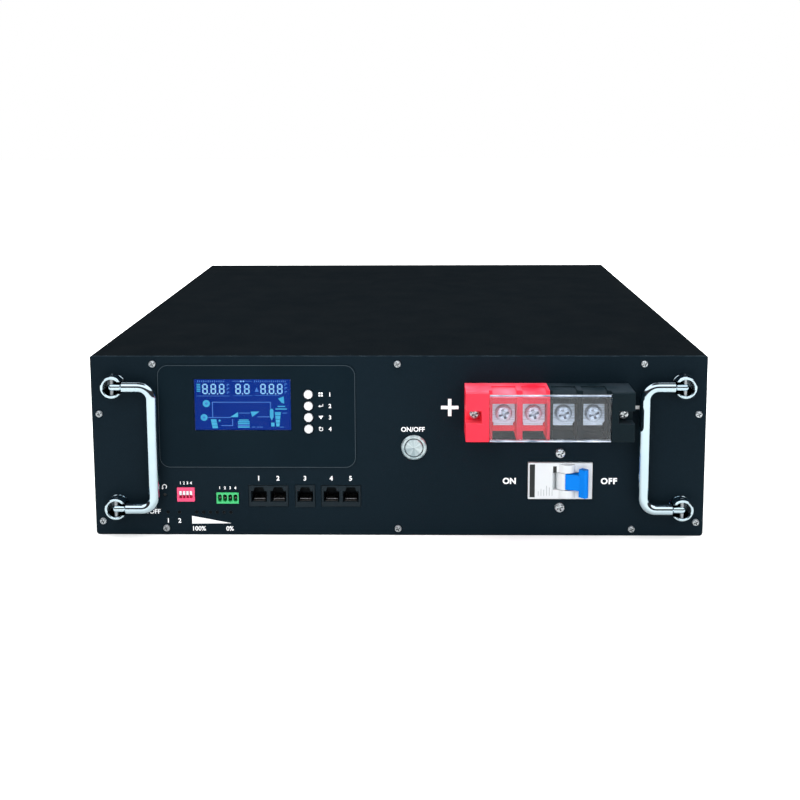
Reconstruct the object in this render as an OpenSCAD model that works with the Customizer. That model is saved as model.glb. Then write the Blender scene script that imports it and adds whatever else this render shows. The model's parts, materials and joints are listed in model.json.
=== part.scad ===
// Rack battery pack: a three-unit steel case with a front panel that carries two folding
// handles, a display with four keys, a row of data ports and indicators, a latching power
// button, a sideways breaker and a four-cell DC terminal block with a flip-up clear cover.
// Inside are sixteen prismatic cells in two rows, their links, and the control electronics.
// Millimetres, +Z up, +X right seen from the front, +Y from the front panel to the rear.
// The origin is the centre of the underside.

/* [Case] */
// Width of the case
case_w = 442; // [440:0.5:446]
// Height of the case
case_h = 133; // [132:0.5:134]
// Depth from the front panel's face to the rear wall
case_d = 480; // [478:1:520]
// Thickness of the tray and cover sheet
sheet_t = 1.5; // [1.2:0.1:1.6]
// Thickness of the front panel
panel_t = 2; // [1.8:0.1:2.2]
// Outer radius of the tray's bends
bend_r = 2.5; // [2.2:0.1:3]

/* [Handles] */
// Distance of each handle's pivots from the middle of the panel
handle_x = 204; // [203:0.5:205]
// Height of the lower pivot
handle_z = 22; // [19:0.5:22]
// Distance between the two pivots of a handle
handle_span = 90; // [86:1:92]
// Reach from the pivots to the middle of the grip
handle_reach = 28; // [26:0.5:30]
// Diameter of the handle rod
rod_d = 8; // [7:0.5:8]

/* [Terminals] */
// Middle of the terminal block across the panel
block_x = 106.5; // [106:0.5:107]
// Height of the block's lower edge
block_z = 78; // [77:0.5:79]
// Distance between neighbouring terminal cells
cell_pitch = 21; // [20.5:0.5:21]
// How far the block's dividing walls stand out
block_out = 25; // [24:0.5:25]
// Side of a square clamp plate
clamp_w = 16.4; // [15:0.2:16.4]

/* [Breaker] */
// Middle of the breaker across the panel
breaker_x = 117.15; // [117:0.05:117.5]
// Height of the breaker's middle
breaker_z = 41.6; // [41:0.1:42]
// Angle of the toggle from straight out, off to the right and on to the left
toggle_angle = 50; // [46:1:50]

/* [Display and keys] */
// Width of the display window
window_w = 70; // [66:1:70]
// Height of the display window
window_h = 38; // [36:1:38]
// Diameter of a key
key_d = 6.2; // [6:0.1:6.4]
// How far a key travels
key_travel = 0.5; // [0.3:0.1:0.5]

/* [Ports] */
// Height of the data ports' middle
port_z = 29.4; // [29:0.1:30]
// Distance between the two ports of a paired jack
port_pitch = 14; // [13.9:0.1:14.2]
// Height of the row of indicators
lamp_z = 16.9; // [16.5:0.1:17.5]

/* [Cells] */
// Thickness of one cell with its share of the gap
cell_step = 50.2; // [49.8:0.1:50.4]
// Width of a cell, along the case's depth
cell_w = 160; // [156:1:160]
// Height of a cell's can
can_h = 115; // [112:1:115]
// Distance between a cell's two posts
post_gap = 115; // [110:1:118]

/* [Hidden] */
$fn = 64;

// Colours
black_paint = "#18242b";
steel = "#c6ccd2";
chrome = "#dde6ea";
dark_plastic = "#1c272d";
red_plastic = "#e8203c";
board_green = "#1d5a3a";
copper = "#b87333";

// Case
front_y = -case_d / 2;
rear_y = case_d / 2;
inner_y = front_y + panel_t;
half_w = case_w / 2;
wall_x = half_w - sheet_t;
roof_z = case_h - sheet_t;
lip_h = 12;
front_lip_h = 9;
flange_w = 10;
edge_r = 0.7;

// Screws that fix the front panel, as [x, z]
panel_screw_places = [
    [-176, 127.4], [0, 127.4], [176, 127.4],
    [-169.3, 5], [0, 5], [169.3, 5],
    [-215.6, 90.7], [215.6, 90.7], [-215.6, 10.3], [215.6, 10.3]
];
m3_r = 1.5;
m4_r = 2;
m6_r = 3;

// Countersunk screws along the sides and the rear of the cover
cover_screw_z = roof_z - 6.5;
cover_screw_ys = [-185, -65, 65, 195];
cover_screw_xs = [-150, 0, 150];
csk_r = 2.7;

// Threaded holes for optional rack ears, near the front of each side
ear_y = front_y + 36;
ear_gap_y = 30;
ear_gap_z = 76.2;
ear_hole_r = 2;

// Handles
rod_r = rod_d / 2;
rod_bend = 9;
pivot_out = rod_r + 2.5;
cup_floor = 2;
cup_rim_r = 8;
cup_bore_r = 5.9;
cup_h = 9.4;
cup_flange_r = 8.4;
handle_pin_r = 1.5;
tongue_r = 2.8;
tongue_len = 6.2;
running_gap = 0.05;
stud_r = 2.5;
stud_len = 14;
handle_nut_t = 4;

// Display
fascia_w = 143;
fascia_h = 76.5;
fascia_x = -101.5;
fascia_z = 88.75;
fascia_t = 0.6;
fascia_r = 8;
window_x = -111.7;
window_z = 97.25;
window_t = 1.4;
module_t = 5.5;
key_x = -64.1;
key_zs = [105.2, 96.7, 88.2, 79.7];
key_ring_r = 3.95;
key_hole_r = 3.4;
display_board_w = 122;
display_board_h = 52;
display_board_x = -108;
display_board_z = 97;
board_t = 1.6;
display_board_out = -(panel_t + module_t);
display_stud_places = [[-164, 75], [-164, 119], [-52, 75], [-52, 119]];

// Port board and what sits on it
port_board_out = -16;
port_board_x = -98;
port_board_z = 31;
port_board_w = 162;
port_board_h = 42;
port_stud_places = [[-174.5, 22], [-174.5, 46], [-21, 15], [-21, 46]];
board_stud_r = 2.6;
board_thread_r = 1.25;
board_nut_t = 2;
reset_x = -170;
reset_z = 30;
reset_hole_r = 1.4;
lamp_xs = [-168, -159.6, -147, -142, -137, -132, -127, -122];
lamp_hole_r = 1.35;

// Bank of four slide switches
bank_x = -154.5;
bank_z = 30.3;
bank_w = 12.9;
bank_h = 10.6;
bank_pitch = 2.54;
slider_w = 1.7;
slider_h = 3.4;
slider_slot_h = 5.6;

// Dry-contact header
header_x = -124;
header_z = 27.9;
header_w = 16.2;
header_h = 8.2;
header_pitch = 3.81;
header_depth = 7.5;

// Data jacks
paired_xs = [-94.1, -41.3];
single_x = -67.45;
paired_w = 28.4;
single_w = 14.1;
jack_h = 15.6;
jack_out = 0.6;
port_w = 11.5;
port_h = 8.1;
port_floor = -4.4;
keyway_h = 3;
keyway_w = [8, 6];
port_depth = 13;
contact_pitch = 1.02;

// Power button
button_x = 11.7;
button_z = 66;
button_flange_r = 9.2;
button_barrel_r = 8;
button_barrel_len = 28;
button_bore_r = 6.7;
button_cap_r = 6.4;
button_proud = 2.4;

// Breaker
breaker_w = 46.3;
breaker_h = 26.9;
window_gap = 0.3;
breaker_face = 2;
breaker_depth = 68;
toggle_x = 122 - breaker_x;
toggle_in = 2.5;
drum_r = 7.4;
drum_h = 12.4;
drum_gap = 0.3;
trunnion_r = 1.5;
neck_w = [12, 4.8];
neck_h = 11.4;
neck_seat = 3;
trough_w = [21.2, 16];
trough_in = 3.4;
toggle_bar = [6, 4.6, 20.7];
toggle_bar_r = 12;
bracket_w = 30;
bracket_t = 1.5;
m4_gap = 20.3;

// Terminal block, measured in each half from the middle wall outwards
block_h = 35.5;
half_block_w = 58.5;
cell_wall = 4;
cell_xs = [cell_pitch / 2, cell_pitch * 1.5];
end_start = cell_pitch * 2 + 0.5;
end_out = 28;
base_out = 9;
base_lift = 3;
bar_t = 3;
bar_w = 14;
tab_rise = 8;
tab_in = 22;
plate_out = base_out + bar_t;
plate_t = 2;
plate_rise = 17.6;
hood_drop = 9;
notch_x = 52;
notch_h = 9;
notch_floor = 17;
hinge_out = 26.35;
hinge_rise = 32.5;
hinge_r = 1.2;
cover_half_w = end_start - 0.4;
cover_t = 1.5;

// Cells
can_gap = 0.6;
pad_t = 1;
can_z = sheet_t + pad_t;
can_top = can_z + can_h;
post_h = 2.5;
post_top = can_top + post_h;
link_t = 2;
link_w = 20;
row_gap = 3.5;
rear_row_y = rear_y - sheet_t - 3 - cell_w / 2;
front_row_y = rear_row_y - cell_w - row_gap;
cells_per_row = 8;
stack_half_w = cells_per_row * cell_step / 2;
end_plate_t = 4;
end_plate_h = 105;
band_t = 0.8;
band_h = 16;
band_zs = [30, 80];

// Control electronics
control_x = -65;
control_y = -162;
control_w = 250;
control_d = 100;
pillar_h = 10;
control_top = sheet_t + pillar_h + board_t;
chip_h = 4.5;
sink_w = 200;
sink_x = -85;
sink_y = -142;
bus_t = 3;

// ---------------------------------------------------------------- helpers

// Puts a front-view drawing on the panel's face: x right, y up, z out of the panel
module on_front(x = 0, z = 0, out = 0) {
    translate([x, front_y - out, z]) rotate([90, 0, 0]) children();
}

// Rectangle with round corners, centred
module rounded_rect(w, h, r) {
    square([w - 2 * r, h], center = true);
    square([w, h - 2 * r], center = true);
    for (sx = [-1, 1], sy = [-1, 1])
        translate([sx * (w / 2 - r), sy * (h / 2 - r)]) circle(r);
}

// Rectangle with cut corners, centred
module cut_rect(w, h, c) {
    polygon([
        [-w / 2 + c, -h / 2], [w / 2 - c, -h / 2], [w / 2, -h / 2 + c], [w / 2, h / 2 - c],
        [w / 2 - c, h / 2], [-w / 2 + c, h / 2], [-w / 2, h / 2 - c], [-w / 2, -h / 2 + c]
    ]);
}

// Solid between two distances out of the panel, from a front-view outline
module slab(from, to) {
    translate([0, 0, from]) linear_extrude(to - from) children();
}

// Box between two corners
module block(low, high) {
    translate(low) cube(high - low);
}

// Outline of the case from the front, with bent lower corners, drawn in by inset
module case_outline(inset, top) {
    r = bend_r - inset;
    w = case_w - 2 * inset;
    translate([-w / 2, inset + r]) square([w, top - inset - r]);
    translate([-w / 2 + r, inset]) square([w - 2 * r, top - inset]);
    for (s = [-1, 1]) translate([s * (w / 2 - r), inset + r]) circle(r);
}

// Pan-head screw with a cross recess, head on z = 0 and shank below
module pan_screw(head_r, head_h, shank_r, shank_len) {
    difference() {
        rotate_extrude() polygon([
            [0, -shank_len], [shank_r - 0.3, -shank_len], [shank_r, -shank_len + 0.3],
            [shank_r, 0], [head_r, 0], [head_r, head_h * 0.45], [head_r * 0.86, head_h * 0.8],
            [head_r * 0.6, head_h], [0, head_h]
        ]);
        // Cross recess with a deeper round middle
        for (a = [0, 90]) rotate(a + 20)
            translate([0, 0, head_h]) cube([head_r * 1.24, head_r * 0.32, head_h * 1.3], center = true);
        translate([0, 0, head_h * 0.25]) cylinder(r = head_r * 0.26, h = head_h);
    }
}

// Countersunk screw, its flat head level with z = 0
module csk_screw(shank_len) {
    difference() {
        rotate_extrude() polygon([[0, 0], [csk_r, 0], [m3_r, -sheet_t], [m3_r, -shank_len], [0, -shank_len]]);
        for (a = [0, 90]) rotate(a) cube([csk_r * 1.1, csk_r * 0.26, 1.2], center = true);
    }
}

// Conical seat for a countersunk screw in one sheet
module csk_hole() {
    rotate_extrude() polygon([[0, 0.1], [csk_r + 0.08, 0.1], [csk_r, 0], [m3_r, -sheet_t], [m3_r, -9], [0, -9]]);
}

// Places children at every countersunk screw, z pointing out of the case
module at_cover_screws() {
    for (s = [-1, 1], y = cover_screw_ys)
        translate([s * half_w, y, cover_screw_z]) rotate([0, s * 90, 0]) children();
    for (x = cover_screw_xs)
        translate([x, rear_y, cover_screw_z]) rotate([-90, 0, 0]) children();
}

// ---------------------------------------------------------------- case

module base_tray() {
    stop_y = front_row_y - cell_w / 2 - band_t;
    color(black_paint) difference() {
        union() {
            // Bottom and side walls, bent from one sheet
            translate([0, rear_y, 0]) rotate([90, 0, 0]) linear_extrude(case_d - panel_t) difference() {
                case_outline(0, roof_z);
                case_outline(sheet_t, case_h);
            }
            // Rear wall
            block([-wall_x, rear_y - sheet_t, sheet_t], [wall_x, rear_y, roof_z]);
            // Flanges behind the front panel
            block([-wall_x, inner_y, sheet_t], [wall_x, inner_y + sheet_t, lip_h]);
            for (s = [-1, 1]) translate([s * (wall_x - flange_w / 2), inner_y + sheet_t / 2, roof_z / 2 - lip_h / 2])
                cube([flange_w, sheet_t, roof_z - lip_h - 2 * sheet_t], center = true);
            // Stop in front of the cell stack
            block([-stack_half_w, stop_y - sheet_t, 0.5], [stack_half_w, stop_y, 34]);
            block([-stack_half_w, stop_y - 14, 0.5], [stack_half_w, stop_y, 2 * sheet_t]);
            // Pillars under the control board
            at_control_pillars() translate([0, 0, 0.5]) cylinder(r = 3, h = sheet_t + pillar_h - 0.5);
        }
        at_cover_screws() csk_hole();
        for (p = panel_screw_places) on_front(p.x, p.y) cylinder(r = m3_r, h = 20, center = true);
        // Threaded holes for rack ears
        for (s = [-1, 1], dy = [-0.5, 0.5], dz = [-0.5, 0.5])
            translate([s * half_w, ear_y + dy * ear_gap_y, case_h / 2 + dz * ear_gap_z])
                rotate([0, 90, 0]) cylinder(r = ear_hole_r, h = 6, center = true);
    }
}

module top_cover() {
    lip_x = wall_x - sheet_t;
    color(black_paint) difference() {
        union() {
            // Roof sheet with its edges just rounded over
            translate([0, rear_y, 0]) rotate([90, 0, 0]) linear_extrude(case_d - panel_t) {
                translate([-half_w, roof_z]) square([case_w, sheet_t - edge_r]);
                translate([-half_w + edge_r, roof_z]) square([case_w - 2 * edge_r, sheet_t]);
                for (s = [-1, 1]) translate([s * (half_w - edge_r), case_h - edge_r]) circle(edge_r);
            }
            // Side lips inside the tray's walls
            for (s = [-1, 1]) translate([s * (lip_x + sheet_t / 2), 0, roof_z - lip_h / 2 + 0.5])
                cube([sheet_t, case_d - 20, lip_h + 1], center = true);
            // Rear lip and front lip
            block([-wall_x + 8, rear_y - 2 * sheet_t, roof_z - lip_h], [wall_x - 8, rear_y - sheet_t, roof_z + 1]);
            block([-wall_x + 14, inner_y, roof_z - front_lip_h], [wall_x - 14, inner_y + sheet_t, roof_z + 1]);
        }
        at_cover_screws() cylinder(r = m3_r, h = 20, center = true);
        for (p = panel_screw_places) on_front(p.x, p.y) cylinder(r = m3_r, h = 20, center = true);
    }
}

module cover_screws() {
    color(steel) at_cover_screws() csk_screw(6);
}

module front_panel() {
    color(black_paint) on_front() difference() {
        union() {
            slab(-panel_t, 0) panel_outline();
            // Weld studs that carry the two boards
            for (p = display_stud_places) board_stud(p, display_board_out);
            for (p = port_stud_places) board_stud(p, port_board_out);
        }
        slab(-panel_t - 1, 1) panel_openings();
    }
}

module panel_outline() {
    case_outline(0, case_h - edge_r);
    translate([-half_w + edge_r, case_h / 2]) square([case_w - 2 * edge_r, case_h / 2]);
    for (s = [-1, 1]) translate([s * (half_w - edge_r), case_h - edge_r]) circle(edge_r);
}

// Stud from the panel's inner face to a board, with a thinner thread through the board
module board_stud(place, board_front) {
    translate([place.x, place.y, board_front]) cylinder(r = board_stud_r, h = -board_front - panel_t + 0.5);
    translate([place.x, place.y, board_front - board_t - board_nut_t - 1])
        cylinder(r = board_thread_r, h = board_t + board_nut_t + 2);
}

module panel_openings() {
    for (p = panel_screw_places) translate([p.x, p.y]) circle(m3_r + 0.1);
    for (s = [-1, 1], dz = [0, handle_span]) translate([s * handle_x, handle_z + dz]) circle(stud_r + 0.1);
    translate([window_x, window_z]) square([window_w, window_h], center = true);
    for (z = key_zs) translate([key_x, z]) circle(key_hole_r);
    translate([reset_x, reset_z]) circle(reset_hole_r);
    for (x = lamp_xs) translate([x, lamp_z]) circle(lamp_hole_r);
    translate([bank_x, bank_z]) square([bank_w + 0.4, bank_h + 0.4], center = true);
    translate([header_x, header_z]) square([header_w + 0.4, header_h + 0.4], center = true);
    for (x = paired_xs) translate([x, port_z]) square([paired_w + 0.6, jack_h + 0.6], center = true);
    translate([single_x, port_z]) square([single_w + 0.6, jack_h + 1.2], center = true);
    translate([button_x, button_z]) circle(button_barrel_r + 0.1);
    translate([breaker_x, breaker_z]) {
        square([breaker_w + 2 * window_gap, breaker_h + 2 * window_gap], center = true);
        for (s = [-1, 1]) translate([0, s * m4_gap]) circle(m4_r + 0.2);
    }
    translate([block_x, block_z]) for (s = [-1, 1]) {
        translate([s * notch_x, block_h / 2]) circle(m4_r + 0.2);
        for (x = cell_xs) translate([s * x, tab_rise + bar_t / 2]) square([bar_w + 2, bar_t + 2], center = true);
    }
}

module panel_screws() {
    color(steel) for (p = panel_screw_places) on_front(p.x, p.y) pan_screw(2.5, 1.7, m3_r, 7);
}

// ---------------------------------------------------------------- handles

// Places children at each of the four pivots, x pointing to the grip and z out of the panel
module at_pivots() {
    for (s = [0, 1], dz = [0, handle_span]) mirror([s, 0, 0]) on_front(-handle_x, handle_z + dz) children();
}

module handle_cup() {
    difference() {
        union() {
            rotate_extrude() polygon([
                [0, 0], [cup_flange_r, 0], [cup_flange_r, 0.9], [cup_flange_r - 0.3, 1.3], [cup_rim_r, 1.6],
                [cup_rim_r, cup_h - 1], [cup_rim_r - 0.25, cup_h - 0.4], [cup_rim_r - 0.75, cup_h],
                [cup_bore_r + 0.7, cup_h], [cup_bore_r + 0.2, cup_h - 0.3], [cup_bore_r, cup_h - 0.8],
                [cup_bore_r, cup_floor], [0, cup_floor]
            ]);
            translate([0, 0, -stud_len]) cylinder(r = stud_r, h = stud_len + 0.5);
        }
        // Notch for the leg, open towards the grip
        translate([0, -rod_r - 0.4, cup_floor]) cube([cup_flange_r + 1, rod_d + 0.8, cup_h]);
        translate([0, 0, pivot_out]) rotate([90, 0, 0]) cylinder(r = handle_pin_r, h = 3 * cup_rim_r, center = true);
    }
}

module handle_cups() {
    color(chrome) at_pivots() handle_cup();
}

module handle_pins() {
    color(steel) at_pivots() translate([0, 0, pivot_out]) rotate([90, 0, 0])
        cylinder(r = handle_pin_r, h = 2 * cup_rim_r - 0.2, center = true);
}

module handle_nuts() {
    color(steel) at_pivots() translate([0, 0, -panel_t - handle_nut_t]) difference() {
        cylinder(d = 9.2, h = handle_nut_t, $fn = 6);
        translate([0, 0, -1]) cylinder(r = stud_r, h = handle_nut_t + 2);
    }
}

// Bent rod with its lower pivot at the origin, a turned-down tongue in each cup and the grip towards +x
module bail() {
    difference() {
        union() {
            for (y = [0, handle_span]) translate([0, y, 0]) {
                sphere(r = tongue_r);
                rotate([0, 90, 0]) rotate_extrude() polygon([
                    [0, 0], [tongue_r, 0], [tongue_r, tongue_len], [rod_r, tongue_len + 1.2],
                    [rod_r, handle_reach - rod_bend], [0, handle_reach - rod_bend]
                ]);
            }
            translate([handle_reach, rod_bend, 0]) rotate([-90, 0, 0])
                cylinder(r = rod_r, h = handle_span - 2 * rod_bend);
            translate([handle_reach - rod_bend, rod_bend, 0]) rotate(-90) rod_corner();
            translate([handle_reach - rod_bend, handle_span - rod_bend, 0]) rod_corner();
        }
        for (y = [0, handle_span]) translate([0, y, 0]) rotate([90, 0, 0])
            cylinder(r = handle_pin_r + running_gap, h = 4 * rod_r, center = true);
    }
}

module rod_corner() {
    rotate_extrude(angle = 90) translate([rod_bend, 0]) circle(rod_r);
}

module handle_left() {
    color(chrome) on_front(-handle_x, handle_z, pivot_out) bail();
}

module handle_right() {
    color(chrome) mirror([1, 0, 0]) on_front(-handle_x, handle_z, pivot_out) bail();
}

// ---------------------------------------------------------------- display and keys

module display_fascia() {
    color("#18262f") on_front() slab(0, fascia_t) difference() {
        translate([fascia_x, fascia_z]) rounded_rect(fascia_w, fascia_h, fascia_r);
        translate([window_x, window_z]) square([window_w, window_h], center = true);
        for (z = key_zs) translate([key_x, z]) circle(key_ring_r);
    }
}

module display_window() {
    color("#2d56ae") on_front(window_x, window_z)
        slab(fascia_t - window_t, fascia_t) square([window_w - 0.2, window_h - 0.2], center = true);
}

// Metal-framed display whose glass stands in the panel's opening
module display_module() {
    color("#8b939a") on_front(window_x, window_z) {
        slab(-panel_t - module_t, -panel_t) cut_rect(window_w + 10, window_h + 8, 1);
        slab(-panel_t - 0.1, fascia_t - window_t) square([window_w - 0.6, window_h - 0.6], center = true);
    }
}

module display_board() {
    color(board_green) on_front() slab(display_board_out - board_t, display_board_out) difference() {
        translate([display_board_x, display_board_z]) rounded_rect(display_board_w, display_board_h, 2);
        for (p = display_stud_places) translate([p.x, p.y]) circle(board_thread_r);
    }
}

// Domed key with a collar behind the panel
module key(z) {
    r = key_d / 2;
    color("white") on_front(key_x, z) rotate_extrude() polygon([
        [0, -panel_t - 1.2], [3.9, -panel_t - 1.2], [3.9, -panel_t - 0.2], [r, -panel_t - 0.2],
        [r, 1.4], [r - 0.5, 1.9], [r * 0.55, 2.15], [0, 2.2]
    ]);
}

module key_menu() { key(key_zs[0]); }
module key_enter() { key(key_zs[1]); }
module key_down() { key(key_zs[2]); }
module key_escape() { key(key_zs[3]); }

// Square switches under the keys and behind the reset hole
module push_switches() {
    switch_top = -panel_t - 1.2 - key_travel - 0.3;
    color("#2a2d30") {
        for (z = key_zs) on_front(key_x, z) {
            slab(display_board_out, switch_top - 0.7) cut_rect(6, 6, 0.5);
            slab(display_board_out, switch_top) circle(1.75);
        }
        on_front(reset_x, reset_z) {
            slab(port_board_out, -12.9) cut_rect(6, 6, 0.5);
            slab(port_board_out, -12.2) circle(1.75);
        }
    }
}

module board_nuts() {
    color(steel) on_front() {
        for (p = display_stud_places) board_nut(p, display_board_out);
        for (p = port_stud_places) board_nut(p, port_board_out);
    }
}

module board_nut(place, board_front) {
    translate([place.x, place.y, board_front - board_t - board_nut_t]) difference() {
        cylinder(d = 5.8, h = board_nut_t, $fn = 6);
        translate([0, 0, -1]) cylinder(r = board_thread_r, h = board_nut_t + 2);
    }
}

// ---------------------------------------------------------------- power button

module button_housing() {
    color(steel) on_front(button_x, button_z) {
        rotate_extrude() polygon([
            [0, -button_barrel_len], [button_barrel_r, -button_barrel_len], [button_barrel_r, 0],
            [button_flange_r, 0], [button_flange_r, 0.8], [button_flange_r - 0.8, 1.6],
            [button_bore_r + 0.3, 1.6], [button_bore_r, 1.3], [button_bore_r, -10], [0, -10]
        ]);
        // Solder tabs at the back
        for (s = [-1, 1]) translate([s * 4, 0, -button_barrel_len - 3]) cube([0.8, 3, 7], center = true);
    }
}

module button_nut() {
    color(steel) on_front(button_x, button_z, -panel_t - 3.5) difference() {
        cylinder(d = 21.4, h = 3.5, $fn = 6);
        translate([0, 0, -1]) cylinder(r = button_barrel_r, h = 6);
    }
}

module power_button() {
    color(steel) on_front(button_x, button_z) rotate_extrude() polygon([
        [0, -5], [button_cap_r, -5], [button_cap_r, button_proud - 0.5],
        [button_cap_r - 0.5, button_proud], [0, button_proud - 0.3]
    ]);
}

// ---------------------------------------------------------------- ports, indicators and switches

module port_board() {
    color(board_green) on_front() slab(port_board_out - board_t, port_board_out) difference() {
        translate([port_board_x, port_board_z]) rounded_rect(port_board_w, port_board_h, 2);
        for (p = port_stud_places) translate([p.x, p.y]) circle(board_thread_r);
    }
}

module reset_plunger() {
    color("#2a2d30") on_front(reset_x, reset_z) {
        slab(-11.4, -0.8) circle(reset_hole_r - 0.35);
        slab(-panel_t - 1.2, -panel_t - 0.2) circle(2.2);
    }
}

module light_pipes() {
    r = lamp_hole_r - 0.05;
    color("#dfe8e4") for (x = lamp_xs) on_front(x, lamp_z) {
        slab(port_board_out, 0) circle(r);
        intersection() {
            translate([0, 0, -1]) sphere(r = 1.65);
            slab(-0.5, 2) circle(r);
        }
        slab(-panel_t - 1, -panel_t) circle(2.2);
    }
}

function slider_x(i) = bank_x + (i - 1.5) * bank_pitch;
slider_top = bank_z + slider_slot_h / 2 - 0.1;

module bank_body() {
    color("#f0305a") on_front() difference() {
        slab(port_board_out, 0.4) translate([bank_x, bank_z]) cut_rect(bank_w, bank_h, 0.4);
        for (i = [0:3]) slab(-2.6, 1) translate([slider_x(i), bank_z])
            square([slider_w + 0.2, slider_slot_h], center = true);
    }
}

// One slide switch's lever, at the upper end of its slot
module bank_slider(i) {
    color("white") on_front(slider_x(i), slider_top - slider_h / 2) {
        slab(-2.3, -0.3) square([slider_w, slider_h], center = true);
        slab(-0.4, 1) translate([0, slider_h / 2 - 1.3]) square([slider_w, 2.6], center = true);
    }
}

module bank_slider_1() { bank_slider(0); }
module bank_slider_2() { bank_slider(1); }
module bank_slider_3() { bank_slider(2); }
module bank_slider_4() { bank_slider(3); }

function header_pin_x(i) = header_x + (i - 1.5) * header_pitch;

// Shroud with one eight-sided pocket for each pin
module contact_header() {
    color("#1f7a48") on_front() difference() {
        slab(port_board_out, 1) translate([header_x, header_z]) square([header_w, header_h], center = true);
        for (i = [0:3]) {
            slab(1 - header_depth, 2) translate([header_pin_x(i), header_z]) cut_rect(2.9, 5.4, 0.8);
            slab(1 - header_depth - 3, 2) translate([header_pin_x(i), header_z]) square(1, center = true);
        }
    }
}

// Front view of one data port: a wide mouth with a tapered keyway for the latch above it
module port_mouth() {
    top = port_floor + port_h;
    translate([-port_w / 2, port_floor]) square([port_w, port_h]);
    polygon([
        [-keyway_w[0] / 2, top - 0.1], [keyway_w[0] / 2, top - 0.1],
        [keyway_w[1] / 2, top + keyway_h], [-keyway_w[1] / 2, top + keyway_h]
    ]);
}

module jack(w, h, port_offsets) {
    color(dark_plastic) difference() {
        slab(port_board_out, jack_out) square([w, h], center = true);
        for (x = port_offsets) slab(jack_out - port_depth, jack_out + 1) translate([x, 0]) port_mouth();
        // Seat of the contact strip in the mouth's floor
        for (x = port_offsets) translate([x, port_floor, jack_out - 7])
            cube([8 * contact_pitch + 1, 2, 9], center = true);
    }
}

module paired_jacks() {
    for (x = paired_xs) on_front(x, port_z) jack(paired_w, jack_h, [-port_pitch / 2, port_pitch / 2]);
}

module single_jack() {
    on_front(single_x, port_z) jack(single_w, jack_h + 0.8, [0]);
}

// Contact strip of one port: a bar in the floor with eight sprung fingers
module contact_strip() {
    color("#d9c9a0") {
        translate([0, port_floor - 0.5, jack_out - 7]) cube([8 * contact_pitch + 1, 1, 9], center = true);
        for (i = [0:7]) translate([(i - 3.5) * contact_pitch - 0.25, port_floor, 0]) rotate([90, 0, 90])
            linear_extrude(0.5) polygon([
                [-0.2, jack_out - 3], [0.3, jack_out - 3], [2.7, jack_out - 10.6], [2.7, jack_out - 11.2],
                [2.2, jack_out - 11.2], [-0.2, jack_out - 3.8]
            ]);
    }
}

module port_contacts() {
    for (x = paired_xs, s = [-0.5, 0.5]) on_front(x + s * port_pitch, port_z) contact_strip();
    on_front(single_x, port_z) contact_strip();
    color("#d9c9a0") for (i = [0:3]) on_front(header_pin_x(i), header_z)
        slab(1 - header_depth - 3, -0.2) square(1, center = true);
}

// ---------------------------------------------------------------- breaker

// Side profile of the breaker, drawn across and out of the panel
module breaker_profile() {
    w = breaker_w / 2;
    polygon([
        [-w + 0.4, breaker_face], [w - 0.4, breaker_face], [w, breaker_face - 0.4], [w, -10],
        [32, -10], [32, -18], [45, -22], [45, -50], [38, -54], [38, -breaker_depth],
        [-38, -breaker_depth], [-38, -54], [-45, -50], [-45, -22], [-32, -18], [-32, -10],
        [-w, -10], [-w, breaker_face - 0.4]
    ]);
}

// Extrudes a profile drawn across and out of the panel over a height, centred
module across(height) {
    translate([0, height / 2, 0]) rotate([90, 0, 0]) linear_extrude(height) children();
}

module breaker_body() {
    color("#eef2f5") on_front(breaker_x, breaker_z) difference() {
        union() {
            across(breaker_h) breaker_profile();
            // Round cheeks beside the toggle's drum
            across(breaker_h - 2) translate([toggle_x, -toggle_in]) circle(drum_r);
        }
        // Room for the toggle's drum and the sweep of its neck, with the trunnions' bores
        across(drum_h + 2 * drum_gap) {
            translate([toggle_x, -toggle_in]) circle(drum_r + drum_gap);
            translate([toggle_x, 0]) polygon([
                [-trough_w[0] / 2, breaker_face + 0.1], [-trough_w[1] / 2, -trough_in],
                [trough_w[1] / 2, -trough_in], [trough_w[0] / 2, breaker_face + 0.1]
            ]);
        }
        across(drum_h + 6) translate([toggle_x, -toggle_in]) circle(trunnion_r + running_gap);
        // Wire pockets at both ends
        for (s = [-1, 1]) translate([s * 41.5, -1.6, -35]) cube([9, 4, 15], center = true);
    }
}

// Drum on two trunnions between the cheeks, flat where the toggle's neck sits
module toggle_drum() {
    color("#eef2f5") on_front(breaker_x + toggle_x, breaker_z) translate([0, 0, -toggle_in]) {
        across(drum_h) rotate(-toggle_angle) difference() {
            circle(drum_r);
            translate([-drum_r, neck_seat]) square([2 * drum_r, drum_r]);
        }
        across(drum_h + 5) circle(trunnion_r);
    }
}

// Toggle: a tapered neck on the drum and a wide bar
module breaker_toggle() {
    neck_top = toggle_bar_r + 0.5;
    color("#0090f0") on_front(breaker_x + toggle_x, breaker_z) translate([0, 0, -toggle_in]) {
        across(neck_h) rotate(-toggle_angle) polygon([
            [-neck_w[0] / 2, neck_seat], [neck_w[0] / 2, neck_seat],
            [neck_w[1] / 2, neck_top], [-neck_w[1] / 2, neck_top]
        ]);
        across(toggle_bar.z) rotate(-toggle_angle) translate([0, toggle_bar_r]) polygon([
            [-toggle_bar.y / 2, 0], [toggle_bar.y / 2, 0], [toggle_bar.y / 2, toggle_bar.x - 1],
            [toggle_bar.y / 2 - 1.2, toggle_bar.x], [-toggle_bar.y / 2 + 1.2, toggle_bar.x],
            [-toggle_bar.y / 2, toggle_bar.x - 1]
        ]);
    }
}

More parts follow.
